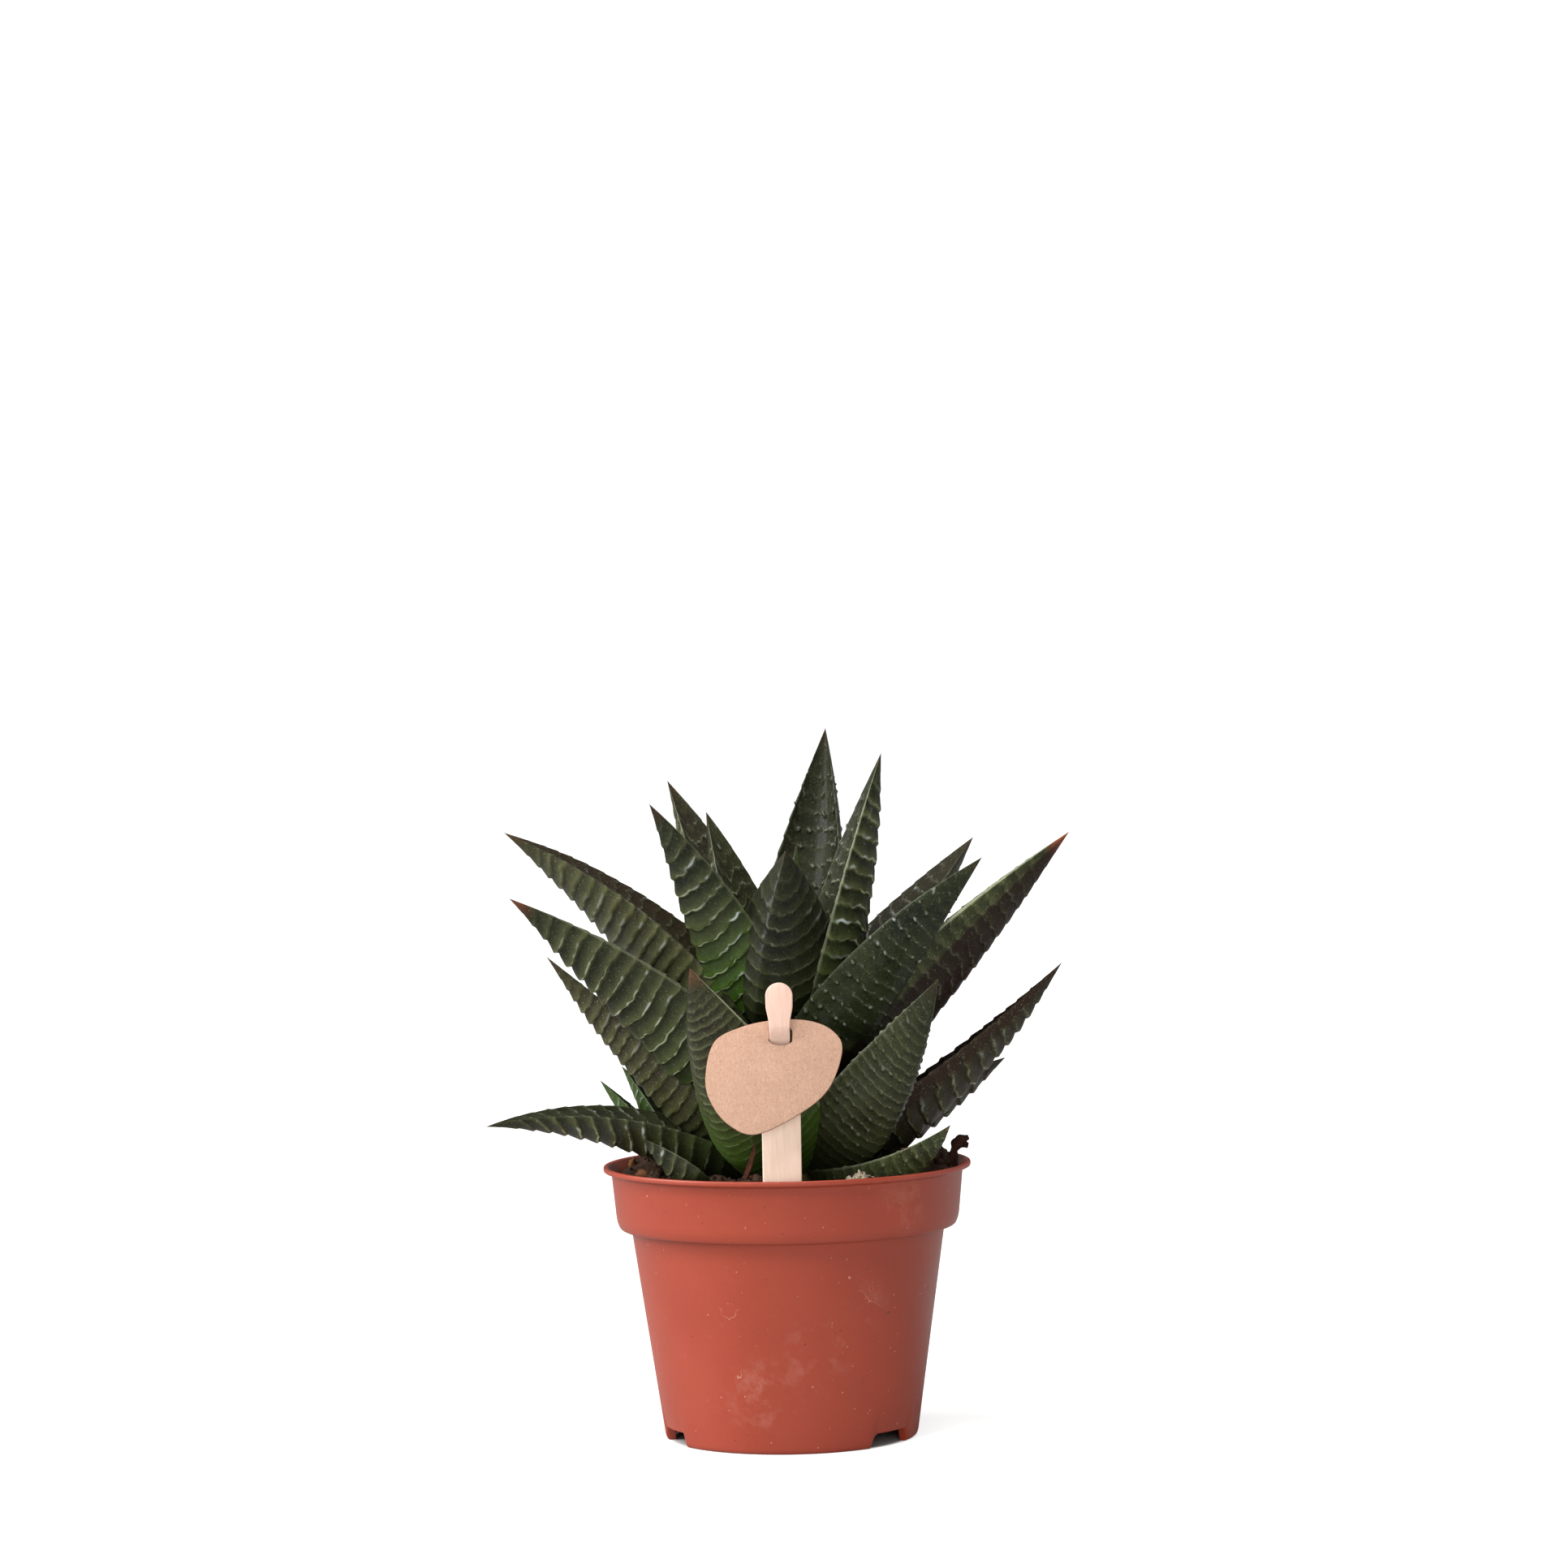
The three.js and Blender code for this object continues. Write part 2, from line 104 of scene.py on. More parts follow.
def tube(rings, ends, first=0):
    """Joins a stack of rings and closes it with a fan round a corner at each end."""
    rows, sides = rings.shape[:2]
    here = first + np.arange(rows * sides).reshape(rows, sides)
    beside = np.roll(here, -1, axis=1)
    hub = np.full(sides, first + rows * sides)
    walls = np.stack([here[:-1], beside[:-1], beside[1:], here[1:]], axis=2).reshape(-1, 4)
    foot = np.stack([hub, beside[0], here[0]], axis=1)
    head = np.stack([hub + 1, here[-1], beside[-1]], axis=1)
    return np.vstack([rings.reshape(-1, 3), ends]), walls.tolist() + foot.tolist() + head.tolist()


def smoothstep(low, high, x):
    t = np.clip((x - low) / (high - low), 0, 1)
    return t * t * (3 - 2 * t)


# %% [markdown]
# ## Node helpers
#
# Shader trees and geometry trees share their maths nodes. A formula made of nodes is hard
# to read, so a small class wraps a socket and takes part in sums and products as a number
# does: writing `a * b + c` adds the two nodes that work it out. The socket knows its tree,
# so the helpers for fades, noises and blends need no tree either.

# %% Node helpers
class Field:
    """A socket that takes part in a formula as a number does."""

    def __init__(self, socket):
        self.socket = socket

    def __add__(self, other):
        return calc("ADD", self, other)

    def __sub__(self, other):
        return calc("SUBTRACT", self, other)

    def __rsub__(self, other):
        return calc("SUBTRACT", other, self)

    def __mul__(self, other):
        return calc("MULTIPLY", self, other)

    def __truediv__(self, other):
        return calc("DIVIDE", self, other)

    def __pow__(self, power):
        return calc("POWER", self, power)


def tree_of(*values):
    return next(value.socket.id_data for value in values if isinstance(value, Field))


def add_node(tree, kind, values=(), **settings):
    node = tree.nodes.new(kind)
    for name, value in settings.items():
        setattr(node, name, value)
    for key, value in values.items() if isinstance(values, dict) else enumerate(values):
        if isinstance(value, Field):
            tree.links.new(value.socket, node.inputs[key])
        elif value is not None:
            node.inputs[key].default_value = value
    return node


def put(tree, kind, values=(), output=0, **settings):
    """Adds a node, sets or joins its inputs, and gives back one of its outputs."""
    return Field(add_node(tree, kind, values, **settings).outputs[output])


def calc(operation, *values):
    return put(tree_of(*values), "ShaderNodeMath", values, operation=operation)


def largest(value, *others):
    for other in others:
        value = calc("MAXIMUM", value, other)
    return value


def vector_calc(operation, values, output=0):
    tree = tree_of(*values.values())
    return put(tree, "ShaderNodeVectorMath", values, output, operation=operation)


def vector(x, y, z):
    return put(tree_of(x, y, z), "ShaderNodeCombineXYZ", (x, y, z))


def parts_of(spot):
    node = add_node(tree_of(spot), "ShaderNodeSeparateXYZ", (spot,))
    return [Field(socket) for socket in node.outputs]


def fade(value, low, high, start=0.0, end=1.0):
    """Runs smoothly from `start` where the value is `low` to `end` where it is `high`."""
    return put(tree_of(value), "ShaderNodeMapRange", (value, low, high, start, end),
               interpolation_type="SMOOTHSTEP")


def noise(spot, scale, detail=2.0, roughness=0.5):
    values = {"Vector": spot, "Scale": scale, "Detail": detail, "Roughness": roughness}
    return put(tree_of(spot), "ShaderNodeTexNoise", values)


def blend(share, under, over, mode="MIX"):
    return put(tree_of(share, under, over), "ShaderNodeMix", {0: share, 6: under, 7: over}, 2,
               data_type="RGBA", blend_type=mode)


# %% [markdown]
# Every finish starts from the same few steps: a material, its Principled BSDF with the
# numbers that are the same all over, and the place on the object as a coordinate. A group
# or a geometry tree starts from named inputs. A geometry tree is run on a piece by a
# modifier; its result is kept as a plain mesh, and the modifier goes.

# %% Finish and tree helpers
def new_finish(name, **constants):
    finish = bpy.data.materials.new(name)
    finish.use_nodes = True
    tree = finish.node_tree
    surface = tree.nodes["Principled BSDF"]
    for label, value in constants.items():
        surface.inputs[label.replace("_", " ")].default_value = value
    return finish, surface, put(tree, "ShaderNodeTexCoord", output="Object")


def connect(surface, **fields):
    for label, field in fields.items():
        surface.id_data.links.new(field.socket, surface.inputs[label.replace("_", " ")])


def specks(place, scale, low, high):
    return fade(noise(place, scale, 1.0), low, high)


def tint(value, stops):
    ramp = add_node(tree_of(value), "ShaderNodeValToRGB", (value,))
    marks = ramp.color_ramp.elements
    for mark, (place, colour) in zip(marks, stops):
        mark.position = place
        mark.color = colour
    return Field(ramp.outputs[0])


def bump(height, distance, strength=1.0, under=None):
    values = {"Strength": strength, "Distance": distance, "Height": height, "Normal": under}
    return put(tree_of(height), "ShaderNodeBump", values)


SOCKETS = {int: "NodeSocketInt", float: "NodeSocketFloat", tuple: "NodeSocketVector"}


def new_tree(name, kind, result, socket, **inputs):
    """Starts a tree; an input is written as its usual value, or as the kind of its socket."""
    tree = bpy.data.node_groups.new(name, kind)
    tree.interface.new_socket(name=result, in_out="OUTPUT", socket_type=socket)
    for label, value in inputs.items():
        asked = value if isinstance(value, str) else SOCKETS[type(value)]
        made = tree.interface.new_socket(name=label.replace("_", " "), in_out="INPUT", socket_type=asked)
        if asked is not value:
            made.default_value = value
    inside = tree.nodes.new("NodeGroupInput")
    return tree, {socket.name: Field(socket) for socket in inside.outputs if socket.name}


def shape_tree(name, **inputs):
    """Starts a geometry tree that takes a shape and a material beside its own inputs."""
    return new_tree(name, "GeometryNodeTree", "Geometry", "NodeSocketGeometry",
                    Geometry="NodeSocketGeometry", **inputs, Material="NodeSocketMaterial")


def give_back(tree, field):
    tree.links.new(field.socket, tree.nodes.new("NodeGroupOutput").inputs[0])
    return tree


def give_shape(tree, shape, material):
    shape = put(tree, "GeometryNodeRealizeInstances", {"Geometry": shape})
    return give_back(tree, put(tree, "GeometryNodeSetMaterial", {"Geometry": shape, "Material": material}))


def grow(piece, tree, **values):
    """Runs a geometry tree on a piece and keeps the result as its plain mesh."""
    modifier = piece.modifiers.new("Rule", "NODES")
    modifier.node_group = tree
    sockets = {item.name: item.identifier for item in tree.interface.items_tree if item.in_out == "INPUT"}
    for name, value in values.items():
        modifier[sockets[name.replace("_", " ")]] = value
    view = bpy.context.evaluated_depsgraph_get()
    result = bpy.data.meshes.new_from_object(
        piece.evaluated_get(view), preserve_all_data_layers=True, depsgraph=view)
    piece.modifiers.remove(modifier)
    old = piece.data
    piece.data = result
    bpy.data.meshes.remove(old)
    result.name = piece.name
    return piece


# %% [markdown]
# ## The camera
#
# The photograph was taken from about the plant's own height with a long lens, so the pot
# shows almost no perspective. The camera stands 700 mm in front, a little above the tallest
# leaf, and is rolled about one degree, because the real one wasn't quite level.

# %% Camera
CAMERA_PLACE = Vector((0.34, -700.0, 113.1))
CAMERA_PITCH = -1.21
CAMERA_ROLL = -1.09
PHOTO_WIDTH = 1927
FOCAL_PIXELS = 5726.0
SENSOR = 36.0

lens = bpy.data.cameras.new("camera")
lens.sensor_fit = "HORIZONTAL"
lens.sensor_width = SENSOR
lens.lens = FOCAL_PIXELS / PHOTO_WIDTH * SENSOR
lens.clip_start = 0.01
camera = bpy.data.objects.new("camera", lens)
turn = Matrix.Rotation((90 + CAMERA_PITCH) * RAD, 4, "X") @ Matrix.Rotation(CAMERA_ROLL * RAD, 4, "Z")
camera.matrix_world = Matrix.Translation(CAMERA_PLACE * MM) @ turn
bpy.context.scene.collection.objects.link(camera)
bpy.context.scene.camera = camera
print("camera lens", round(lens.lens, 2), "mm")

# %% [markdown]
# ## Studio
#
# A plain pale floor and soft light. On the real pot the viewer's left side is about two and
# a half times as bright as its right side, with a smooth change between. A very broad sun
# gives that: it stands almost square to the left, and as a sun it lights the floor evenly
# out to the horizon, so the floor runs into the white background. World and floor are white
# to the eye but give the scene only a part of that, which keeps the dark leaves dark, and
# the floor's own glow stops where the pot stands, so it can't shine up through the foot.
#
# Two small lamps above add the sharp glints that wet-looking ridges carry, and a weak one
# lights the right side. The wide fill in front is left out of reflections, because it would
# lay a grey sheen over every leaf that faces the viewer.

# %% Floor, lamps and world
FLOOR_HALF = 3.0
FLOOR_GLOW = 0.75
GLOW_FROM, GLOW_FULL = 17.5, 19.2
AIM_HEIGHT = 55.0


def studio_floor():
    half = FLOOR_HALF
    corners = [(-half, -half, 0), (half, -half, 0), (half, half, 0), (-half, half, 0)]
    floor = new_piece("studio_floor", corners, [(0, 1, 2, 3)], smooth=False)
    finish, surface, place = new_finish(
        "pale floor", Base_Color=paint(176, 175, 173), Roughness=0.95, Specular_IOR_Level=0.1,
        Emission_Strength=FLOOR_GLOW)
    out = vector_calc("LENGTH", {0: place}, "Value")
    seen = put(tree_of(place), "ShaderNodeLightPath", output="Is Camera Ray")
    glow = seen * fade(out, GLOW_FROM * MM, GLOW_FULL * MM)
    connect(surface, Emission_Color=vector(glow, glow, glow))
    floor.data.materials.append(finish)
    floor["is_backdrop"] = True


def lamp(kind, name, left, up, strength, mirrored=True, **settings):
    """Stands a lamp `left` degrees left of the viewer and `up` degrees high, aimed at the plant."""
    light = bpy.data.lights.new(name, kind)
    light.energy = strength
    for setting, value in settings.items():
        setattr(light, setting, value)
    level = math.cos(up * RAD)
    toward = Vector((-math.sin(left * RAD) * level, -math.cos(left * RAD) * level, math.sin(up * RAD)))
    stand = bpy.data.objects.new(name, light)
    stand.location = toward + Vector((0, 0, AIM_HEIGHT * MM))
    stand.rotation_euler = toward.to_track_quat("Z", "Y").to_euler()
    stand.visible_glossy = mirrored
    bpy.context.scene.collection.objects.link(stand)


def white_world(seen, given):
    world = bpy.data.worlds.new("white studio")
    bpy.context.scene.world = world
    world.use_nodes = True
    tree = world.node_tree
    tree.nodes.clear()
    strength = fade(put(tree, "ShaderNodeLightPath", output="Is Camera Ray"), 0, 1, given, seen)
    sky = put(tree, "ShaderNodeBackground", ((1, 1, 1, 1), strength))
    add_node(tree, "ShaderNodeOutputWorld", (sky,))


studio_floor()
lamp("SUN", "broad sun", left=82, up=32, strength=5.2, angle=50 * RAD)
lamp("AREA", "glint lamp", left=20, up=50, strength=4.0, shape="RECTANGLE", size=0.12, size_y=0.24)
lamp("AREA", "top lamp", left=-30, up=72, strength=3.0, shape="RECTANGLE", size=0.12, size_y=0.3)
lamp("AREA", "front fill", left=0, up=4, strength=7.0, shape="RECTANGLE", size=0.9, size_y=0.5,
     mirrored=False)
lamp("AREA", "side lamp", left=-105, up=25, strength=1.1, shape="RECTANGLE", size=0.2, size_y=0.6)
white_world(seen=1.05, given=0.24)
bpy.context.scene.view_settings.view_transform = "Standard"
print("studio ready")

# %% [markdown]
# ## The leaf's form
#
# Every leaf grows by one rule. A middle line leaves the stem and arches over; along it runs
# a section with a shallow channel on top and a keel below, widest near the base and drawn
# out to a sharp tip. Two numbers from a leaf's row, its heading and its rise, aim it, and
# the rest shape it. The same rule made the frame's plain leaves, so each fine one lies where
# its plain one does.
#
# A few numbers give single leaves their own character. `thick` and `taper` make the blade
# thinner or fuller by its tip, `keel` moves the keel to one side, `crease` makes it sharper,
# and `fold` bends the blade along its middle. `roll` turns the section round the line,
# `sweep` turns the line aside on its way to the tip, and `late` says how late it bends.
#
# A grid of rows and columns follows the rule here. Every corner also remembers where it is
# on the leaf: `along` in millimetres, `share` from 0 at the base to 1 at the tip, `across`
# from -1 to 1 between the margins, `breadth` in millimetres over the surface, and `upper` for
# the face. The ridges and the finish read these, so their pattern follows the leaf wherever
# it bends. Two leaves show a stretch beside one margin that looks like the upper face:
# `band` says where it starts, and `lit` how much painted light brightens it there.

# %% Leaf rule
BLADE = dict(peak=0.22, base_width=0.84, depth=0.46, depth_taper=2.1, base_depth=0.6,
             full_at=0.25, channel=0.26, keel_round=0.12)
LINE_STEPS = 480
BAND_EDGE = 0.04
LOOKS = ("fresh", "line", "rim", "base", "tip", "pitch", "dotted", "shade", "seed")


def turn_about(vectors, axes, angle):
    cos, sin = math.cos(angle), math.sin(angle)
    dot = np.sum(vectors * axes, axis=1, keepdims=True)
    return vectors * cos + np.cross(axes, vectors) * sin + axes * dot * (1 - cos)


def leaf_frame(leaf, s):
    bent = s ** leaf["late"]
    rise = (leaf["rise"] + leaf["arch"] * bent) * RAD
    heading = (leaf["heading"] + leaf["sweep"] * bent) * RAD
    level = np.stack([-np.sin(heading), np.cos(heading), np.zeros_like(s)], axis=1)
    along = np.stack([np.cos(rise) * np.cos(heading), np.cos(rise) * np.sin(heading), np.sin(rise)], axis=1)
    side = turn_about(level, along, -leaf["roll"] * RAD)
    return along, side, np.cross(along, side)


def leaf_line(leaf, stem, s):
    steps = (np.arange(LINE_STEPS) + 0.5) / LINE_STEPS
    along, _, _ = leaf_frame(leaf, steps)
    heading = leaf["heading"] * RAD
    start = np.array([stem[0] + leaf["out"] * math.cos(heading),
                      stem[1] + leaf["out"] * math.sin(heading), leaf["seat"]])
    walked = np.vstack([start, start + np.cumsum(along * leaf["length"] / LINE_STEPS, axis=0)])
    knots = np.linspace(0, 1, LINE_STEPS + 1)
    return np.stack([np.interp(s, knots, walked[:, axis]) for axis in range(3)], axis=1)


def blade_size(leaf, s):
    widening = np.sin(np.minimum(s / BLADE["peak"], 1) * math.pi / 2)
    swell = BLADE["base_width"] + (1 - BLADE["base_width"]) * widening
    half = 0.5 * leaf["width"] * swell * (1 - s ** leaf["taper"])
    fill = BLADE["base_depth"] + (1 - BLADE["base_depth"]) * np.minimum(s / BLADE["full_at"], 1)
    depth = BLADE["depth"] * leaf["thick"] * leaf["width"] * fill * (1 - s ** BLADE["depth_taper"])
    return half, depth


def section_columns(upper_columns, lower_columns):
    top = np.linspace(-1, 1, upper_columns)
    top = 0.4 * top + 0.6 * np.sin(top * math.pi / 2)
    under = np.sin(np.linspace(1, -1, lower_columns + 2)[1:-1] * math.pi / 2)
    across = np.concatenate([top, under])
    upper = np.concatenate([np.ones(upper_columns), np.zeros(lower_columns)])
    upper[[0, upper_columns - 1]] = 0.5
    return across, upper


def section_heights(across, upper, half, depth, leaf):
    soft, keel = BLADE["keel_round"], leaf["keel"]
    away = np.where(across < keel, (keel - across) / (1 + keel), (across - keel) / (1 - keel))
    ridge = (np.sqrt(away ** 2 + soft ** 2) - soft) / (math.sqrt(1 + soft ** 2) - soft)
    belly = (1 - leaf["crease"]) * np.sqrt(1 - across ** 2) + leaf["crease"] * (1 - ridge)
    lift = BLADE["channel"] * half
    bend = leaf["fold"] * half[:, None] * (across ** 2 - 0.5)
    return lift[:, None] * across ** 2 + bend - (upper < 0.5) * depth[:, None] * belly


def face_breadth(reach, height, upper_columns):
    """Distance over the surface from the middle of each face, which keeps beads round."""
    breadth = np.zeros_like(reach)
    for columns in (slice(0, upper_columns), slice(upper_columns, None)):
        steps = np.hypot(np.diff(reach[:, columns], axis=1), np.diff(height[:, columns], axis=1))
        walked = np.concatenate([np.zeros((len(reach), 1)), np.cumsum(steps, axis=1)], axis=1)
        breadth[:, columns] = walked - walked[:, [walked.shape[1] // 2]]
    return breadth


# %% [markdown]
# The grid is closed with a fan round a corner at the base and another at the tip. The facts
# and the leaf's own looks are then kept on the mesh as attributes, one number a corner.

# %% Leaf blade
def leaf_blade(name, leaf, stem):
    rows, upper_columns, lower_columns = leaf["grid"]
    s = np.linspace(0, 1, rows + 1)[:-1]
    across, upper = section_columns(upper_columns, lower_columns)
    line = leaf_line(leaf, stem, s)
    _, side, face = leaf_frame(leaf, s)
    half, depth = blade_size(leaf, s)
    height = section_heights(across, upper, half, depth, leaf)
    reach = half[:, None] * across
    rings = line[:, None] + side[:, None] * reach[..., None] + face[:, None] * height[..., None]
    tip = leaf_line(leaf, stem, np.array([1.0]))[0]
    points, faces = tube(rings, [line[0], tip])
    piece = new_piece(name, points * MM, faces)

    def all_over(grid, hub_value=0.0, tip_value=0.0):
        return np.concatenate([grid.reshape(-1), [hub_value, tip_value]])

    share = all_over(np.repeat(s, len(across)), tip_value=1.0)
    beside = smoothstep(-leaf["band"], -leaf["band"] - BAND_EDGE, across)
    face_share = all_over(np.tile(np.maximum(upper, beside), rows), tip_value=0.5)
    below, above = leaf["brown"]
    facts = {label: np.full(len(share), leaf[label]) for label in LOOKS}
    # painted light: the band is brightened, though it faces away from the lamps
    facts["shade"] *= 1 + leaf["lit"] * all_over(np.tile(beside, rows))
    facts.update(share=share, along=share * leaf["length"], upper=face_share,
                 across=all_over(np.tile(across, rows)),
                 breadth=all_over(face_breadth(reach, height, upper_columns)),
                 brown=below + (above - below) * face_share)
    for label, values in facts.items():
        kept = piece.data.attributes.new(label, "FLOAT", "POINT")
        kept.data.foreach_set("value", values.astype(np.float32))
    return piece


# %% [markdown]
# ## The washboard
#
# The ridges repeat along every leaf, so they are a rule too, and Geometry Nodes carry it.
# On the real leaf each ridge is like the edge of a shingle: seen from the tip the surface
# swells slowly, ends in a thin pale lip, and drops at once on the side of the base. The lip
# wanders, bows towards the base, and is a little scalloped. On the upper face, and on a few
# leaves below too, the ridge is broken up into a row of round beads instead.
#
# Both trees that need the beads, this one for their form and the finish for their colour,
# build them with the same function. It finds the nearest bead on the nearest row and gives
# a dome round it. A white noise, read at the bead's own number, makes each a little
# different. Each row is staggered against the last by the golden section, which never
# lines up.

# %% Bead rows
LIP_AT = 0.17
BEAD_GAP = 1.55
BEAD_RADIUS = 0.52
BEAD_STRAY = (0.5, 0.3)
STAGGER = 0.618


def bead_rows(count, breadth, pitch, seed):
    level = count - LIP_AT
    row_number = calc("ROUND", level)
    spot = breadth / BEAD_GAP + row_number * STAGGER
    name = vector(calc("FLOOR", spot) + 0.5, row_number + 0.5, seed)
    draws = add_node(tree_of(name), "ShaderNodeTexWhiteNoise", {"Vector": name}, noise_dimensions="3D")
    size = Field(draws.outputs["Value"])
    stray_row, stray_bead, _ = parts_of(Field(draws.outputs["Color"]))
    off_row = (level - row_number) * pitch + (stray_row - 0.5) * BEAD_STRAY[0]
    off_bead = (calc("FRACT", spot) - 0.5) * BEAD_GAP + (stray_bead - 0.5) * BEAD_STRAY[1]
    away = calc("SQRT", off_row * off_row + off_bead * off_bead)
    near = away / (fade(size, 0.12, 0.9, 0.25, 1.0) * BEAD_RADIUS)
    return largest(1.0 - near * near, 0.0)


# %% [markdown]
# The tree counts ridges with `along` divided by the pitch, moved by slow noises so that no
# two run alike. The whole part of the count numbers the ridge, and the rest says how far
# the corner is between two of them. Corners then move out along their normals. The count is
# kept on the mesh as `ridge`, with its strength as `relief`, for the finish to read.

# %% Washboard tree
SCALLOP_WIDTH = 1.9
UPPER_BEADED = 0.8


def washboard_tree():
    tree, given = shape_tree("Washboard", Pitch=2.6, Height=0.6, Wander=1.0, Bow=0.5, Scallop=0.12,
                             Beads=0.22, Dotted=0.0, Tooth=0.2, Sway=0.35, Seed=0.0)

    def fact(label):
        return put(tree, "GeometryNodeInputNamedAttribute", (label,), data_type="FLOAT")

    def drift(across_scale, along_scale, shift):
        return noise(vector(breadth * across_scale, along * along_scale, layer + shift), 1.0, 1.0) - 0.5

    share, along, across = fact("share"), fact("along"), fact("across")
    breadth, upper = fact("breadth"), fact("upper")
    flat = 1.0 - calc("ABSOLUTE", across)
    layer = given["Seed"] + upper * flat * 3.0

    wander = drift(0.17, 0.06, 0.0) * 1.5 + drift(0.5, 0.3, 40.0) * 0.4
    bowed = (1.0 - across * across) * given["Bow"]
    arcs = calc("SINE", breadth * (math.pi / SCALLOP_WIDTH) + drift(0.1, 0.45, 11.0) * 7.0)
    count = along / given["Pitch"] + bowed + wander * given["Wander"]
    count = count + calc("ABSOLUTE", arcs) * given["Scallop"]
    between = calc("FRACT", count)
    swell = fade(between, 0.0, LIP_AT + 0.05) * (1.0 - between) ** 0.75
    dome = bead_rows(count, breadth, given["Pitch"], given["Seed"])

    ends = fade(share, 0.02, 0.12) * fade(share, 0.985, 0.72)
    relief = ends * (drift(0.2, 0.12, 7.3) * 1.3 + 1.0)
    beaded = largest(given["Dotted"], upper * UPPER_BEADED)
    ribs = swell * (1.0 - beaded) * relief * fade(flat, 0.0, 0.16, 0.3, 1.0) * given["Height"]
    beads = dome * (beaded * 0.85 + 0.15) * relief * given["Beads"]
    teeth = fade(flat, 0.12, 0.0) * swell * ends * given["Tooth"]
    sway = drift(0.11, 0.07, 21.0) * given["Sway"] * fade(share, 1.0, 0.6)
    move = {0: put(tree, "GeometryNodeInputNormal"), "Scale": (ribs + beads + (teeth + sway)) * MM}

    shape = given["Geometry"]
    for label, field in (("ridge", count), ("relief", relief)):
        shape = put(tree, "GeometryNodeStoreNamedAttribute",
                    {"Geometry": shape, "Name": label, "Value": field}, data_type="FLOAT")
    shape = put(tree, "GeometryNodeSetPosition", {"Geometry": shape, "Offset": vector_calc("SCALE", move)})
    return give_shape(tree, shape, given["Material"])


WASHBOARD = washboard_tree()
print("washboard tree has", len(WASHBOARD.nodes), "nodes")

# %% [markdown]
# ## Shared effects
#
# Two effects come back in several finishes, so each is a group, built once. *Mottle* gives
# a value that varies at two sizes, for the uneven tint of anything natural. *Smudge* marks
# irregular stains inside a soft round area, for the lime and dust that water leaves behind.

# %% Shared shader groups
ORIGIN = (0.0, 0.0, 0.0)


def mottle_group():
    tree, given = new_tree("Mottle", "ShaderNodeTree", "Value", "NodeSocketFloat",
                           Vector=ORIGIN, Coarse=120.0, Fine=900.0, Fine_Share=0.4)
    coarse = noise(given["Vector"], given["Coarse"], 3.0)
    fine = noise(given["Vector"], given["Fine"], 4.0, 0.6)
    return give_back(tree, put(tree, "ShaderNodeMix", {0: given["Fine Share"], 2: coarse, 3: fine}))


def smudge_group():
    tree, given = new_tree("Smudge", "ShaderNodeTree", "Mask", "NodeSocketFloat",
                           Vector=ORIGIN, Centre=ORIGIN, Radius=10 * MM, Grain=500.0)
    away = vector_calc("DISTANCE", {0: given["Vector"], 1: given["Centre"]}, "Value")
    near = fade(away / given["Radius"], 1.0, 0.2)
    return give_back(tree, near * fade(noise(given["Vector"], given["Grain"], 6.0, 0.7), 0.46, 0.66))


MOTTLE = mottle_group()
SMUDGE = smudge_group()


def group(inner, **values):
    values = {name.replace("_", " "): value for name, value in values.items()}
    return put(tree_of(*values.values()), "ShaderNodeGroup", values, node_tree=inner)


print("shared groups:", MOTTLE.name, "and", SMUDGE.name)

# %% [markdown]
# ## Leaf finish
#
# The finish reads the facts kept on the mesh, so colour and form agree, and one finish
# serves every leaf of the plant, however different they look. This cell fetches the facts
# and works out what the next steps share: `flat` is 0 at a margin and 1 at the middle,
# `between` runs from one ridge to the next, `beaded` and `ribbed` say how far the ridge is
# broken into beads, and `pearl` marks the top of a bead.

# %% Leaf facts
FACTS = LOOKS + ("share", "across", "breadth", "upper", "ridge", "relief", "brown")


def leaf_facts(place):
    tree = tree_of(place)
    fact = SimpleNamespace(**{label: put(tree, "ShaderNodeAttribute", output="Fac", attribute_name=label)
                              for label in FACTS})
    fact.flat = 1.0 - calc("ABSOLUTE", fact.across)
    fact.between = calc("FRACT", fact.ridge)
    fact.beaded = largest(fact.dotted, fact.upper * UPPER_BEADED)
    fact.ribbed = 1.0 - fact.beaded * 0.9
    fact.full = calc("MINIMUM", fact.relief, 1.0)
    fact.inner = fade(fact.flat, 0.02, 0.5, 0.1, 1.0)
    fact.patches = fade(noise(place, 620.0), 0.36, 0.62)
    fact.dome = bead_rows(fact.ridge, fact.breadth, fact.pitch, fact.seed)
    fact.pearl = fade(fact.dome, 0.55, 1.0) * fact.beaded * fact.relief * (fact.line * 0.8 + 0.2)
    return fact


# %% [markdown]
# The flesh is a dark mottled green, purple-brown where the sun reached it. It is brightest
# near the base, as strongly as the leaf's `base` says. On the tip's side of every ridge it
# carries painted light, where light comes through the thin edge, and on the other side of
# the lip painted shade lies as a dark hollow.

# %% Leaf flesh
NEARLY_BLACK = paint(12, 14, 8)


def leaf_flesh(fact, cloud, dark, middle, vivid, olive):
    colour = tint(cloud, [(0.36, dark), (0.64, middle)])
    low = fade(fact.share, fact.base * 0.28 + 0.42, 0.06) * fact.base
    young = largest(low, fact.fresh)
    # painted light on the tip's side of each ridge, plus the real greener colour of young and low parts
    glow = (1.0 - fact.between) ** 2.6 * fact.full * fact.ribbed * 0.75 + young * 0.35
    colour = blend(glow, colour, blend(young, olive, vivid))
    colour = blend(fact.brown * fade(cloud, 0.35, 0.65, 0.75, 1.0), colour, paint(36, 22, 16))
    # painted shade in the hollow on the base's side of each lip
    hollow_shade = fade(fact.between, LIP_AT - 0.02, 0.0) * fact.relief * fact.ribbed * 0.7
    return blend(hollow_shade, colour, NEARLY_BLACK)
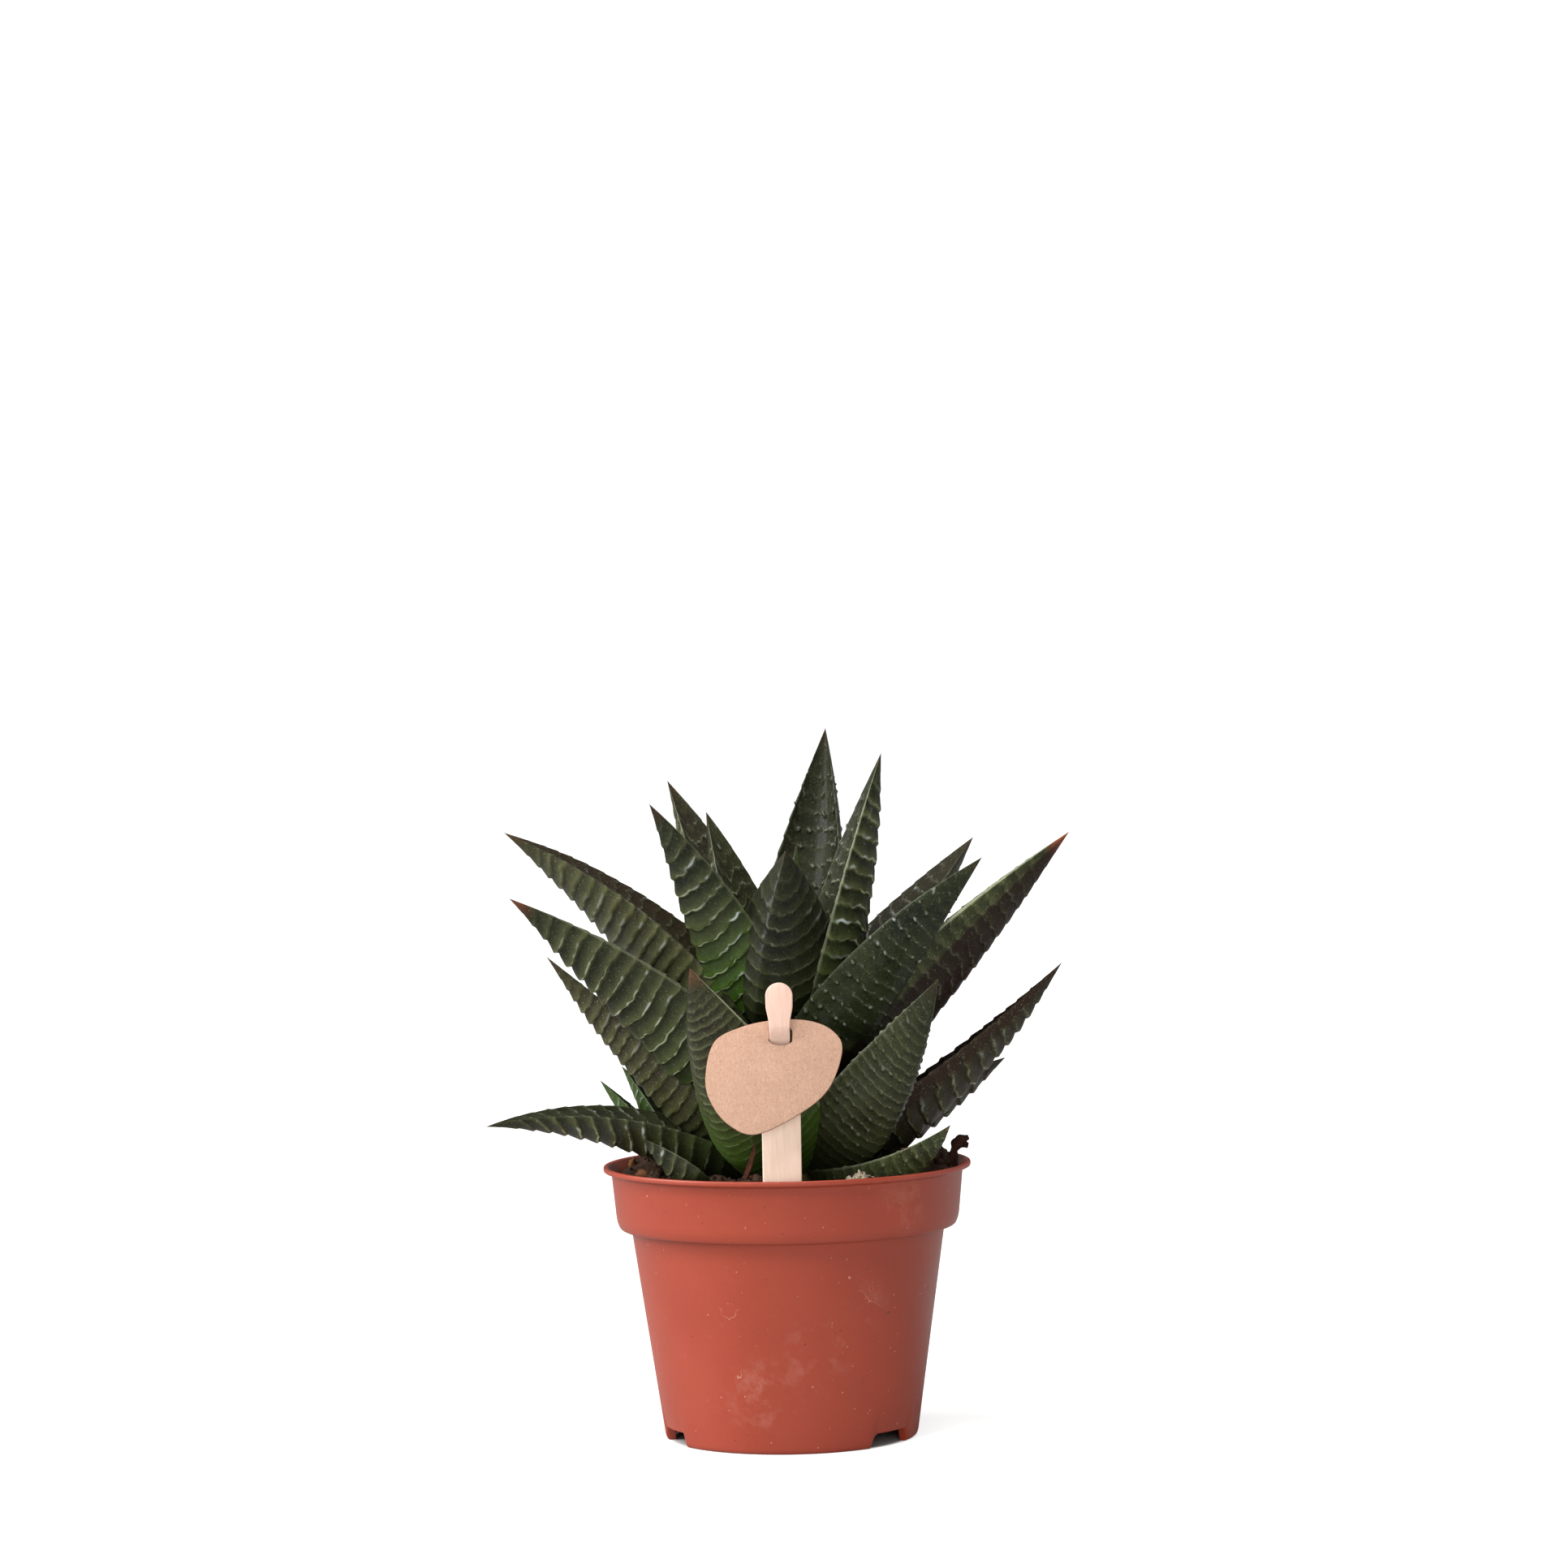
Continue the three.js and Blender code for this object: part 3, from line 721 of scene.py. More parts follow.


# %% [markdown]
# The lip of a ridge is a thin pale line that comes and goes. A bead is a pale dot, with
# painted shade as a dark ring round it. The margin is pale, the tip may be rusty, and the
# whole leaf is a little speckled. Last, the leaf's own `shade` number sets its brightness,
# and painted shade darkens it more near the base, where the real rosette keeps the light out.

# %% Leaf lines
def leaf_lines(fact, colour, place, lip_paint):
    width = fade(fact.patches, 0.0, 1.0, 0.03, 0.085)
    thin = fade(calc("ABSOLUTE", fact.between - LIP_AT) / width, 1.0, 0.3)
    strength = (fact.patches * 0.7 + 0.3) * fade(fact.share, 0.95, 0.3, 0.15, 1.0)
    lip = thin * strength * fact.relief * fact.inner * fact.ribbed * fact.line
    colour = blend(lip, colour, lip_paint)
    # painted shade: a dark ring round each bead
    bead_ring_shade = fade(fact.dome, 0.0, 0.15) * fade(fact.dome, 0.6, 0.3) * fact.beaded * fact.relief
    colour = blend(bead_ring_shade * 0.6, colour, NEARLY_BLACK)
    colour = blend(fact.pearl * 0.14, colour, lip_paint)
    colour = blend(specks(place, 3600.0, 0.62, 0.76) * 0.09, colour, lip_paint)
    rim = fade(fact.flat, 0.012, 0.002) * fade(fact.share, 0.1, 0.6, 0.5, 1.0) * fact.rim
    colour = blend(rim, colour, paint(166, 170, 140))
    return blend(fade(fact.share, 0.90, 1.0) * fact.tip, colour, paint(136, 72, 50))


def leaf_shade(fact, colour):
    dull = largest(1.0 - fact.base, 0.0)
    # painted shade near the base, where the rosette keeps the light out
    deep = fade(fact.share, 0.5, 0.05) * dull * 0.45 + fade(fact.share, 0.3, 0.1, 0.0, 0.35)
    shade = fact.shade * (1.0 - deep)
    return blend(1.0, colour, vector(shade, shade, shade), "MULTIPLY")


# %% [markdown]
# Real leaves of this kind look wet along their ridges. A thin clear coat gives the crests
# and beads their gloss. The brightest glints are sharper than a soft studio lamp would
# make, so a few are painted as well, in patches along the crests beside the margin and on
# the tops of beads.

# %% Leaf gloss
def leaf_gloss(fact, colour, place):
    after = fade(fact.between, LIP_AT + 0.16, LIP_AT + 0.02)
    crest = fade(fact.between, LIP_AT - 0.1, LIP_AT) * after
    shine = fade(noise(place, 340.0), 0.5, 0.64)
    beside_rim = fade(fact.flat, 0.015, 0.06) * fade(fact.flat, 0.6, 0.18)
    middle_part = fade(fact.share, 0.95, 0.6) * fade(fact.share, 0.2, 0.4)
    glint = crest * shine * fact.ribbed * beside_rim * fact.relief * middle_part
    glint = glint * calc("MINIMUM", fact.line, 0.8) * 0.85
    # painted highlights on crests and bead tops
    colour = blend(largest(glint, fact.pearl * shine * 0.3), colour, paint(206, 216, 218))
    wet = largest(crest * fact.ribbed * fact.inner * fact.patches, fact.pearl) * fact.full
    wet = (wet * 0.75 + fade(fact.upper, 0.0, 1.0, 0.17, 0.07)) * (1.0 - fact.brown * 0.6)
    return colour, wet


# %% [markdown]
# The steps come together in one function. The leaf and the young leaf differ only in their
# paints: a dark and a middle green for the flesh, a vivid and an olive one for the painted
# light that comes through it and for its greener young parts, and the pale paint of the
# lips. A fine grain keeps the skin satin.

# %% Leaf finishes
def leaf_finish(name, dark, middle, vivid, olive, lip_paint):
    finish, surface, place = new_finish(
        name, Specular_IOR_Level=0.12, Specular_Tint=(0.86, 0.93, 1.0, 1.0), Coat_Roughness=0.1,
        Subsurface_Weight=0.04, Subsurface_Radius=(0.4, 1.0, 0.25), Subsurface_Scale=0.001)
    fact = leaf_facts(place)
    cloud = group(MOTTLE, Vector=place, Coarse=180.0, Fine=1700.0, Fine_Share=0.45)
    colour = leaf_flesh(fact, cloud, dark, middle, vivid, olive)
    colour = leaf_shade(fact, leaf_lines(fact, colour, place, lip_paint))
    colour, wet = leaf_gloss(fact, colour, place)
    grain = noise(place, 5200.0, 3.0)
    connect(surface, Base_Color=colour, Coat_Weight=wet, Normal=bump(grain, 0.04 * MM, 0.3),
            Roughness=fade(cloud, 0.3, 0.7, 0.40, 0.54) + grain * 0.06)
    return finish


LEAF = leaf_finish("washboard leaf", dark=paint(18, 22, 11), middle=paint(42, 48, 26),
                   vivid=paint(76, 118, 24), olive=paint(112, 114, 74), lip_paint=paint(204, 212, 176))
YOUNG_LEAF = leaf_finish("young leaf", dark=paint(30, 46, 20), middle=paint(52, 72, 32),
                         vivid=paint(78, 108, 44), olive=paint(98, 118, 62), lip_paint=paint(184, 206, 146))
print("leaf finishes:", LEAF.name, "and", YOUNG_LEAF.name)

# %% [markdown]
# ## The rosette
#
# One row for each leaf, from the heart outwards: heading, height of the seat, distance from
# the stem's axis, rise, arch, length and width. These are the frame's own numbers, apart
# from a few leaves that are a little wider, narrower or thinner here, after a last look at
# the photograph. Only what is not usual follows: how brown each face has turned (below,
# above), how `fresh` its green is, how strong its pale `line`, pale `rim` and rusty `tip`
# are, how strongly it glows near its `base`, its `shade` as a whole, how closely (`pitch`)
# and how high its ridges stand, and how far they are broken into dots.
#
# The leaves in front get the finest grid, and those at the back a coarser one, which keeps
# the whole plant under a million triangles.

# %% Leaf rows
ROOTSTOCK = (0.0, 0.0)
PUP = (-14.0, 6.0)
PLAN = ("heading", "seat", "out", "rise", "arch", "length", "width")
USUAL = dict(grid=(180, 22, 34), taper=1.9, thick=1.0, keel=0.0, crease=0.5, fold=0.0, band=1.0, lit=0.0,
             brown=(0.0, 0.25), fresh=0.0, line=0.75, rim=0.15, tip=0.06, base=0.3, shade=1.0, pitch=2.6,
             height=0.6, wander=1.0, bow=0.5, scallop=0.12, beads=0.25, dotted=0.0, tooth=0.05,
             sweep=0, late=0.6, roll=0)


def row(*plan, **look):
    return {**USUAL, **dict(zip(PLAN, plan)), **look}


LEAVES = [
    row(-22, 66, 0.8, 84, 3, 23.3, 7, grid=(120, 20, 20), height=0.2, fresh=0.3),
    row(-87, 62, 2, 76, -16, 29.4, 19.5, grid=(180, 12, 64), keel=-0.5, crease=0.85, pitch=2.3, height=0.3,
        bow=1.1, line=0.28, dotted=0.45, wander=0.3, brown=(0.2, 0.3), base=0.5, shade=0.58),
    row(60, 62, 3, 67, 14, 46, 16, grid=(260, 56, 20), fold=0.3, beads=0.42, dotted=0.9, brown=(0.1, 0.3),
        line=0.4, rim=0.1, tooth=0.25, shade=0.85),
    row(-11, 61, 3, 77, -6, 43.6, 14, grid=(240, 40, 40), roll=-22, height=0.4, beads=0.35, rim=0.35,
        base=0.5, shade=0.9),
    row(139, 61, 3, 80, -16, 35.3, 14, grid=(170, 30, 20), brown=(0.3, 0.3), dotted=0.8, beads=0.4,
        shade=1.4),
    row(-148, 60, 3, 78, -27, 41.4, 15, grid=(240, 14, 50), height=0.55, line=1.2, bow=0.8, wander=0.7,
        base=1.2, shade=0.62, tip=0.2),
    row(134, 58, 3, 76, -23, 46.6, 15, grid=(200, 44, 16), brown=(0.35, 0.5), beads=0.35, shade=1.4),
    row(175, 58, 4, 69, -44, 51.8, 18, grid=(270, 30, 44), roll=4, brown=(0.3, 0.8), line=0.3, tip=0.1,
        wander=0.6, rim=0.0, pitch=2.4, scallop=0.05, shade=1.3),
    row(-28, 57, 4, 62, -26, 42.6, 16, grid=(260, 20, 72), beads=0.34, dotted=1.0, pitch=2.1, rim=0.05),
    row(34, 57, 4, 52, -11, 45.4, 16, grid=(200, 34, 24), brown=(0.6, 0.6), dotted=0.4),
    row(0, 54, 4, 52, -15, 53.8, 19, grid=(260, 40, 40), roll=3, band=0.78, lit=1.0, brown=(1.0, 0.15),
        line=0.06, tip=0.8, beads=0.35, height=0.28, rim=0.3, scallop=0.2, shade=0.9),
    row(95, 54, 4, 58, -24, 42, 16),
    row(-161, 52, 5, 54, -24, 48.7, 17, grid=(270, 18, 54), roll=-8, height=0.7, line=1.1, tip=0.5,
        wander=0.6, scallop=0.04, brown=(0.12, 0.3), base=0.6, shade=0.92),
    row(125, 49, 5, 44, -20, 41, 16),
    row(60, 48, 5, 42, -16, 42, 16),
    row(-175, 44, 7, 45.5, 0, 40.9, 12.0, grid=(220, 34, 36), roll=-10, thick=0.85, brown=(0.5, 0.75),
        height=0.5, line=0.25, pitch=2.0, wander=0.6, rim=0.0, shade=1.6),
    row(3, 43, 7, 28, 18, 44.9, 14.6, grid=(240, 40, 36), roll=3, late=0.8, thick=0.75, band=0.8, lit=0.3,
        brown=(0.75, 1.0), line=0.2, rim=0.0, beads=0.4, tooth=0.2, shade=1.1),
    row(22, 43, 6, 22, 0, 33, 13, brown=(0.8, 0.8), line=0.2),
    row(-106, 43, 5, 34, 35, 36.8, 20.6, grid=(250, 10, 50), sweep=-39, late=0.8, taper=2.6, pitch=1.25,
        height=0.1, line=0.2, wander=0.4, bow=1.2, brown=(0.3, 0.3), rim=0.4, dotted=0.4, tip=0.2, base=1.2,
        shade=1.05),
    row(-44, 43, 7, 41, 12, 36.4, 17, grid=(230, 20, 70), late=0.8, pitch=1.5, height=0.2, beads=0.3,
        dotted=0.75, line=0.2, bow=1.2, wander=0.5, brown=(0.15, 0.25), rim=0.05, shade=1.1),
    row(84, 43, 6, 26, -14, 38, 14),
    row(117, 42, 6, 22, -14, 33, 14),
    row(-167, 41, 6, 32, -43, 41.5, 12.2, grid=(230, 24, 44), roll=8, thick=0.9, late=1, height=0.5,
        line=1.0, brown=(0.15, 0.2), rim=0.0, wander=0.4, scallop=0.05, bow=0.9, base=0.5, shade=0.85),
    row(-33, 39.5, 7, 0, 42, 24, 12, grid=(150, 16, 50), late=1, pitch=1.6, height=0.12, beads=0.3,
        dotted=0.8, line=0.15, shade=2.0),
]
YOUNG = dict(grid=(100, 14, 22), fresh=0.5, pitch=1.5, height=0.12, beads=0.15, shade=0.8, rim=0.5, base=0.5)
PUP_LEAVES = [
    row(163, 39, 1.2, 73, -24, 19.6, 6.5, **YOUNG),
    row(60, 39, 1.2, 70, -20, 12, 6, **YOUNG),
    row(176, 39, 1.4, 56, -12, 19.5, 6.5, **YOUNG),
    row(-146, 39, 1.4, 46, -18, 10, 6.5, **YOUNG),
]
print(len(LEAVES), "leaves and", len(PUP_LEAVES), "young ones in the plan")

# %% [markdown]
# Each blade is made, ridged by the tree and named after the plain leaf it stands for, which
# is hidden. One small low leaf in front has no plain leaf of its own.

# %% Grow the leaves
GROWN = ("pitch", "height", "wander", "bow", "scallop", "beads", "dotted", "tooth", "seed")
LOW_LEAF = row(-172, 40.0, 6.0, 46, -14, 11.6, 6.2, grid=(110, 14, 30), roll=-6, pitch=2.0, height=0.35,
               line=0.6, wander=0.5, tip=0.1, shade=0.66, seed=301.0)
LOW_LEAF_STEM = (-6.2, -16.2)
SEED_STEP = 11.7


def ridged_blade(name, leaf, stem, finish):
    numbers = {label.capitalize(): leaf[label] for label in GROWN}
    return grow(leaf_blade(name, leaf, stem), WASHBOARD, Material=finish, **numbers)


def grow_rosette(rows, stem, prefix, finish):
    triangles = 0
    for index, leaf in enumerate(rows, start=1):
        node = f"{prefix}_{index:02d}"
        leaf["seed"] = index * SEED_STEP
        piece = ridged_blade(node + "_blade", leaf, stem, finish)
        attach(piece, "root")
        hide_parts(node)
        triangles += sum(len(face.vertices) - 2 for face in piece.data.polygons)
    print(len(rows), prefix, "blades,", triangles, "triangles")


low_leaf = ridged_blade("low_leaf", LOW_LEAF, LOW_LEAF_STEM, LEAF)
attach(low_leaf, "root")
grow_rosette(LEAVES, ROOTSTOCK, "leaf", LEAF)
grow_rosette(PUP_LEAVES, PUP, "pup_leaf", YOUNG_LEAF)

# %% [markdown]
# ## Rootstocks
#
# The short stems that the leaves clasp are hidden almost everywhere, so the frame's own
# solids stay and only get their finish: dull green-brown tissue with fine corky marks.

# %% Rootstock finish
def stem_finish():
    finish, surface, place = new_finish("rootstock")
    cloud = group(MOTTLE, Vector=place, Coarse=250.0, Fine=2200.0, Fine_Share=0.5)
    colour = tint(cloud, [(0.3, paint(58, 52, 32)), (0.7, paint(96, 92, 52))])
    gloss = fade(cloud, 0.3, 0.7, 0.55, 0.8)
    connect(surface, Base_Color=colour, Roughness=gloss, Normal=bump(cloud, 0.2 * MM))
    return finish


STEM = stem_finish()
for node in ("rootstock", "pup_rootstock"):
    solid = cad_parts[node]
    solid.data.materials.clear()
    solid.data.materials.append(STEM)
print("rootstocks carry", STEM.name)

# %% [markdown]
# ## The pot
#
# The pot is moulded, so it is a turned body: one outline swept round the axis. The outline
# is rounded at every corner, because a mould has no sharp ones, and the step under the band
# and the thin lip catch the light as on the real pot. Three notches in the foot let water
# run out. They are no more than a stretch of the foot ring whose lower edge is lifted, so
# the sweep makes them itself. The six drainage holes are cut by a tree, because they repeat
# on a circle.

# %% Pot outline
POT_HEIGHT = 41.2
FLOOR_UNDER, FLOOR_TOP = 2.4, 3.2
FOOT_R = 19.0
PAD_R = 5.0
LIP_R = 27.7
NOTCH_HEIGHT = 2.2
NOTCH_HALF_ARC = 11.6
NOTCH_EASE = 0.9
NOTCH_MIDDLES = (-38.5, -158.5, 81.5)
POT_SIDES = 200
LONGEST_STEP = 4.0
POT_OUTLINE = [
    # radius, height and corner radius, from the pad's middle outwards and up, then down inside
    (0, 0, 0), (PAD_R, 0, 0.3), (PAD_R, FLOOR_UNDER, 0.3), (17.6, FLOOR_UNDER, 0.5), (17.75, 0, 0.35),
    (FOOT_R, 0, 0.9), (23.6, 31.55, 0.3), (25.3, 31.75, 0.5), (25.8, 33.0, 0.9), (26.5, 40.1, 0.3),
    (LIP_R, 40.5, 0.2), (LIP_R, POT_HEIGHT, 0.25), (26.95, POT_HEIGHT, 0.3), (25.8, 39.7, 0.8),
    (25.0, 32.9, 0.8), (22.8, 31.8, 0.8), (18.0, FLOOR_TOP, 1.0), (0, FLOOR_TOP, 0),
]


def rounded(outline, steps=4):
    smooth = []
    for i, (radius, height, corner) in enumerate(outline):
        here = Vector((radius, height))
        if corner == 0:
            smooth.append(here)
            continue
        before = Vector(outline[i - 1][:2]) - here
        after = Vector(outline[(i + 1) % len(outline)][:2]) - here
        start = here + before.normalized() * min(corner, before.length * 0.45)
        stop = here + after.normalized() * min(corner, after.length * 0.45)
        for step in range(steps + 1):
            t = step / steps
            smooth.append(start * (1 - t) ** 2 + here * 2 * t * (1 - t) + stop * t ** 2)
    return smooth


def notch_lift(angle, radius, height):
    if radius < 0.5 * (PAD_R + FOOT_R) or height > NOTCH_HEIGHT:
        return height
    off = min(abs((angle - middle + 180) % 360 - 180) for middle in NOTCH_MIDDLES)
    raised = 1 - smoothstep(NOTCH_HALF_ARC, NOTCH_HALF_ARC + NOTCH_EASE, off)
    return height + (NOTCH_HEIGHT - height) * float(raised)


def pot_body():
    outline = rounded(POT_OUTLINE)
    dense = [outline[0]]
    for point in outline[1:]:
        start = dense[-1].copy()
        parts = max(1, int((point - start).length / LONGEST_STEP))
        dense += [start.lerp(point, (i + 1) / parts) for i in range(parts)]
    angles = np.arange(POT_SIDES) * 360 / POT_SIDES
    rings = []
    for radius, height in dense[1:-1]:
        x, y = radius * np.cos(angles * RAD), radius * np.sin(angles * RAD)
        levels = [notch_lift(angle, radius, height) for angle in angles]
        rings.append(np.stack([x, y, levels], axis=1))
    points, faces = tube(np.array(rings), [(0, 0, 0), (0, 0, FLOOR_TOP)])
    return new_piece("nursery_pot", points * MM, faces)


# %% [markdown]
# The holes: six short cylinders on a circle are set out as instances, made real, and taken
# from the body by a Boolean. The tree's inputs name the circle, the holes and their number.

# %% Drainage holes tree
def drainage_tree():
    tree, given = shape_tree("Drainage", Holes=6, Circle=11.5 * MM, Hole=2.0 * MM)
    circle = put(tree, "GeometryNodeMeshCircle", {"Vertices": given["Holes"], "Radius": given["Circle"]})
    drill = put(tree, "GeometryNodeMeshCylinder",
                {"Vertices": 32, "Radius": given["Hole"], "Depth": 3 * FLOOR_UNDER * MM})
    drills = put(tree, "GeometryNodeInstanceOnPoints", {"Points": circle, "Instance": drill})
    drills = put(tree, "GeometryNodeRealizeInstances", {"Geometry": drills})
    cut = put(tree, "GeometryNodeMeshBoolean", {"Mesh 1": given["Geometry"], "Mesh 2": drills},
              operation="DIFFERENCE", solver="EXACT")
    return give_shape(tree, cut, given["Material"])


# %% [markdown]
# ## Pot finish
#
# Satin plastic the colour of fired clay. What makes it look used is small: a cloudy tint,
# pale lime where water dried, a few hair-thin curling scratches, and dark and pale specks.
# The scratches are the lines where a slow noise passes one value, shown only in a few
# patches. Marks and patches are listed with their middle and their radius.

# %% Pot finish
LIME_MARKS = [((17.0, -19.8, 37.0), 6.5), ((-4.0, -20.5, 9.0), 8.5), ((4.0, -21.5, 15.0), 8.0),
              ((12.0, -20.5, 22.0), 6.0), ((-20.0, 12.0, 20.0), 7.0), ((12.0, 19.0, 28.0), 6.0)]
SCRATCHES = [((-9.3, -21.0, 20.7), 2.6), ((12.2, -19.6, 22.5), 3.2), ((-6.5, -20.0, 11.0), 2.2),
             ((15.0, 16.0, 24.0), 5.0), ((-21.0, -6.0, 15.0), 2.6)]
SCUFFED = paint(226, 176, 156)


def metres(spot):
    return tuple(part * MM for part in spot)


def patch(place, middle, radius):
    away = vector_calc("DISTANCE", {0: place, 1: metres(middle)}, "Value")
    return fade(away, radius * MM, 0.6 * radius * MM)


def pot_finish():
    finish, surface, place = new_finish("terracotta plastic", Specular_IOR_Level=0.5)
    cloud = group(MOTTLE, Vector=place, Coarse=60.0, Fine=1800.0, Fine_Share=0.3)
    colour = tint(cloud, [(0.3, paint(136, 48, 28)), (0.7, paint(147, 56, 34))])
    lime = largest(*[group(SMUDGE, Vector=place, Centre=metres(middle), Radius=radius * MM, Grain=260.0)
                     for middle, radius in LIME_MARKS])
    colour = blend(lime * 0.10, colour, paint(214, 180, 164))
    hair = fade(calc("ABSOLUTE", noise(place, 260.0, 3.0) - 0.5), 0.006, 0.002)
    scratch = hair * largest(*[patch(place, middle, radius) for middle, radius in SCRATCHES])
    colour = blend(scratch * 0.38, colour, SCUFFED)
    colour = blend(specks(place, 1500.0, 0.76, 0.80) * 0.35, colour, SCUFFED)
    colour = blend(specks(place, 1300.0, 0.235, 0.2) * 0.6, colour, paint(70, 34, 24))
    grained = bump(noise(place, 6500.0), 0.03 * MM, 0.4)
    connect(surface, Base_Color=colour, Roughness=fade(cloud, 0.3, 0.7, 0.40, 0.50) + lime * 0.25,
            Normal=bump(scratch, 0.04 * MM, 0.6, under=grained))
    return finish


pot = pot_body()
grow(pot, drainage_tree(), Holes=6, Circle=11.5 * MM, Hole=2.0 * MM, Material=pot_finish())
pot.data.polygons.foreach_set("use_smooth", [True] * len(pot.data.polygons))
pot.data.set_sharp_from_angle(angle=50 * RAD)
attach(pot, "root")
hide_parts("pot")
print("pot", len(pot.data.polygons), "faces")

# %% [markdown]
# ## Compost
#
# The real compost is dark peat: an uneven surface with loose crumbs, a few pale grains of
# grit and some fibres. The surface is a disc of rings lifted by a few waves, by small heaps
# (middle, width and height) and by two banks against the wall (height, heading and spread).
# Its body reaches down the pot's inside, because the notches and holes give a view of it.

# %% Compost body
SOIL_R = 25.1
SOIL_EDGE = 38.7
SOIL_MIDDLE = 37.7
SOIL_FOOT = 3.4
SOIL_WALL = [(17.4, SOIL_FOOT), (22.2, 32.0), (24.6, 33.2)]
SOIL_SIDES = 120
SOIL_RINGS = 46
BANKS = [(1.5, 160.0, 42.0), (1.7, 14.0, 24.0)]
HEAPS = [(-9.5, -16.5, 3.2, 2.6), (-6.0, -21.8, 2.6, 2.5), (22.4, 0.5, 3.2, 2.3), (-19.0, -11.0, 4.5, 1.5),
         (-21.0, 2.0, 4.5, 1.6), (10.6, -21.2, 3.2, 2.1), (20.0, 9.0, 4.0, 1.2)]


def soil_height(x, y):
    radius = np.hypot(x, y)
    level = SOIL_MIDDLE + (SOIL_EDGE - SOIL_MIDDLE) * smoothstep(15, 20, radius)
    waves = 0.25 * np.sin(0.9 * x + 0.4 * y) + 0.25 * np.sin(1.1 * y - 0.5 * x + 1) * np.cos(0.7 * x)
    rough = 0.12 * np.sin(2.9 * x + 1.3 * y) * np.sin(2.3 * y - 1.7 * x)
    heaps = sum(tall * np.exp(-((x - hx) ** 2 + (y - hy) ** 2) / wide ** 2) for hx, hy, wide, tall in HEAPS)
    bank = 0
    for tall, heading, spread in BANKS:
        off = (np.degrees(np.arctan2(y, x)) - heading + 180) % 360 - 180
        bank = bank + tall * np.exp(-(off / spread) ** 2) * smoothstep(13, 20, radius)
    return level + bank + (waves + rough + heaps) * smoothstep(SOIL_R, SOIL_R - 1.5, radius)


def soil_body():
    angles = np.arange(SOIL_SIDES) * 2 * math.pi / SOIL_SIDES
    cos, sin = np.cos(angles), np.sin(angles)
    rings = [np.stack([r * cos, r * sin, np.full(SOIL_SIDES, z)], axis=1) for r, z in SOIL_WALL]
    for r in np.linspace(0, SOIL_R, SOIL_RINGS)[:0:-1]:
        rings.append(np.stack([r * cos, r * sin, soil_height(r * cos, r * sin)], axis=1))
    points, faces = tube(np.array(rings), [(0, 0, SOIL_FOOT), (0, 0, float(soil_height(0.0, 0.0)))])
    return new_piece("compost", points * MM, faces)


def earth_finish(name, dark, light, coarse):
    finish, surface, place = new_finish(name, Roughness=0.95, Specular_IOR_Level=0.12)
    cloud = group(MOTTLE, Vector=place, Coarse=coarse, Fine=coarse * 9, Fine_Share=0.5)
    connect(surface, Base_Color=tint(cloud, [(0.32, dark), (0.68, light)]), Normal=bump(cloud, 0.5 * MM))
    return finish


COMPOST = earth_finish("peat compost", paint(26, 19, 15), paint(74, 54, 42), 420.0)
GRIT = earth_finish("pale grit", paint(150, 138, 116), paint(206, 196, 172), 900.0)
LITTER = earth_finish("dry litter", paint(84, 52, 34), paint(140, 94, 60), 700.0)
soil = soil_body()
soil.data.materials.append(COMPOST)
print("compost", len(soil.data.polygons), "faces")

# %% [markdown]
# Crumbs are scattered by a tree: points on the top of the body, a lumpy little stone on
# each with its own turn and size, made real at the end. A crumb seen hundreds of times
# needs only a few dozen faces, so it starts as a coarse ball that a noise has dented. Only
# points within `Reach` of `Middle` are kept, which gathers the pale grit in one small heap.
# The seed is an input, so the heap is the same on every run.

# %% Crumb tree
FACES_UP = 0.4
WHOLE_TURN = 6.283


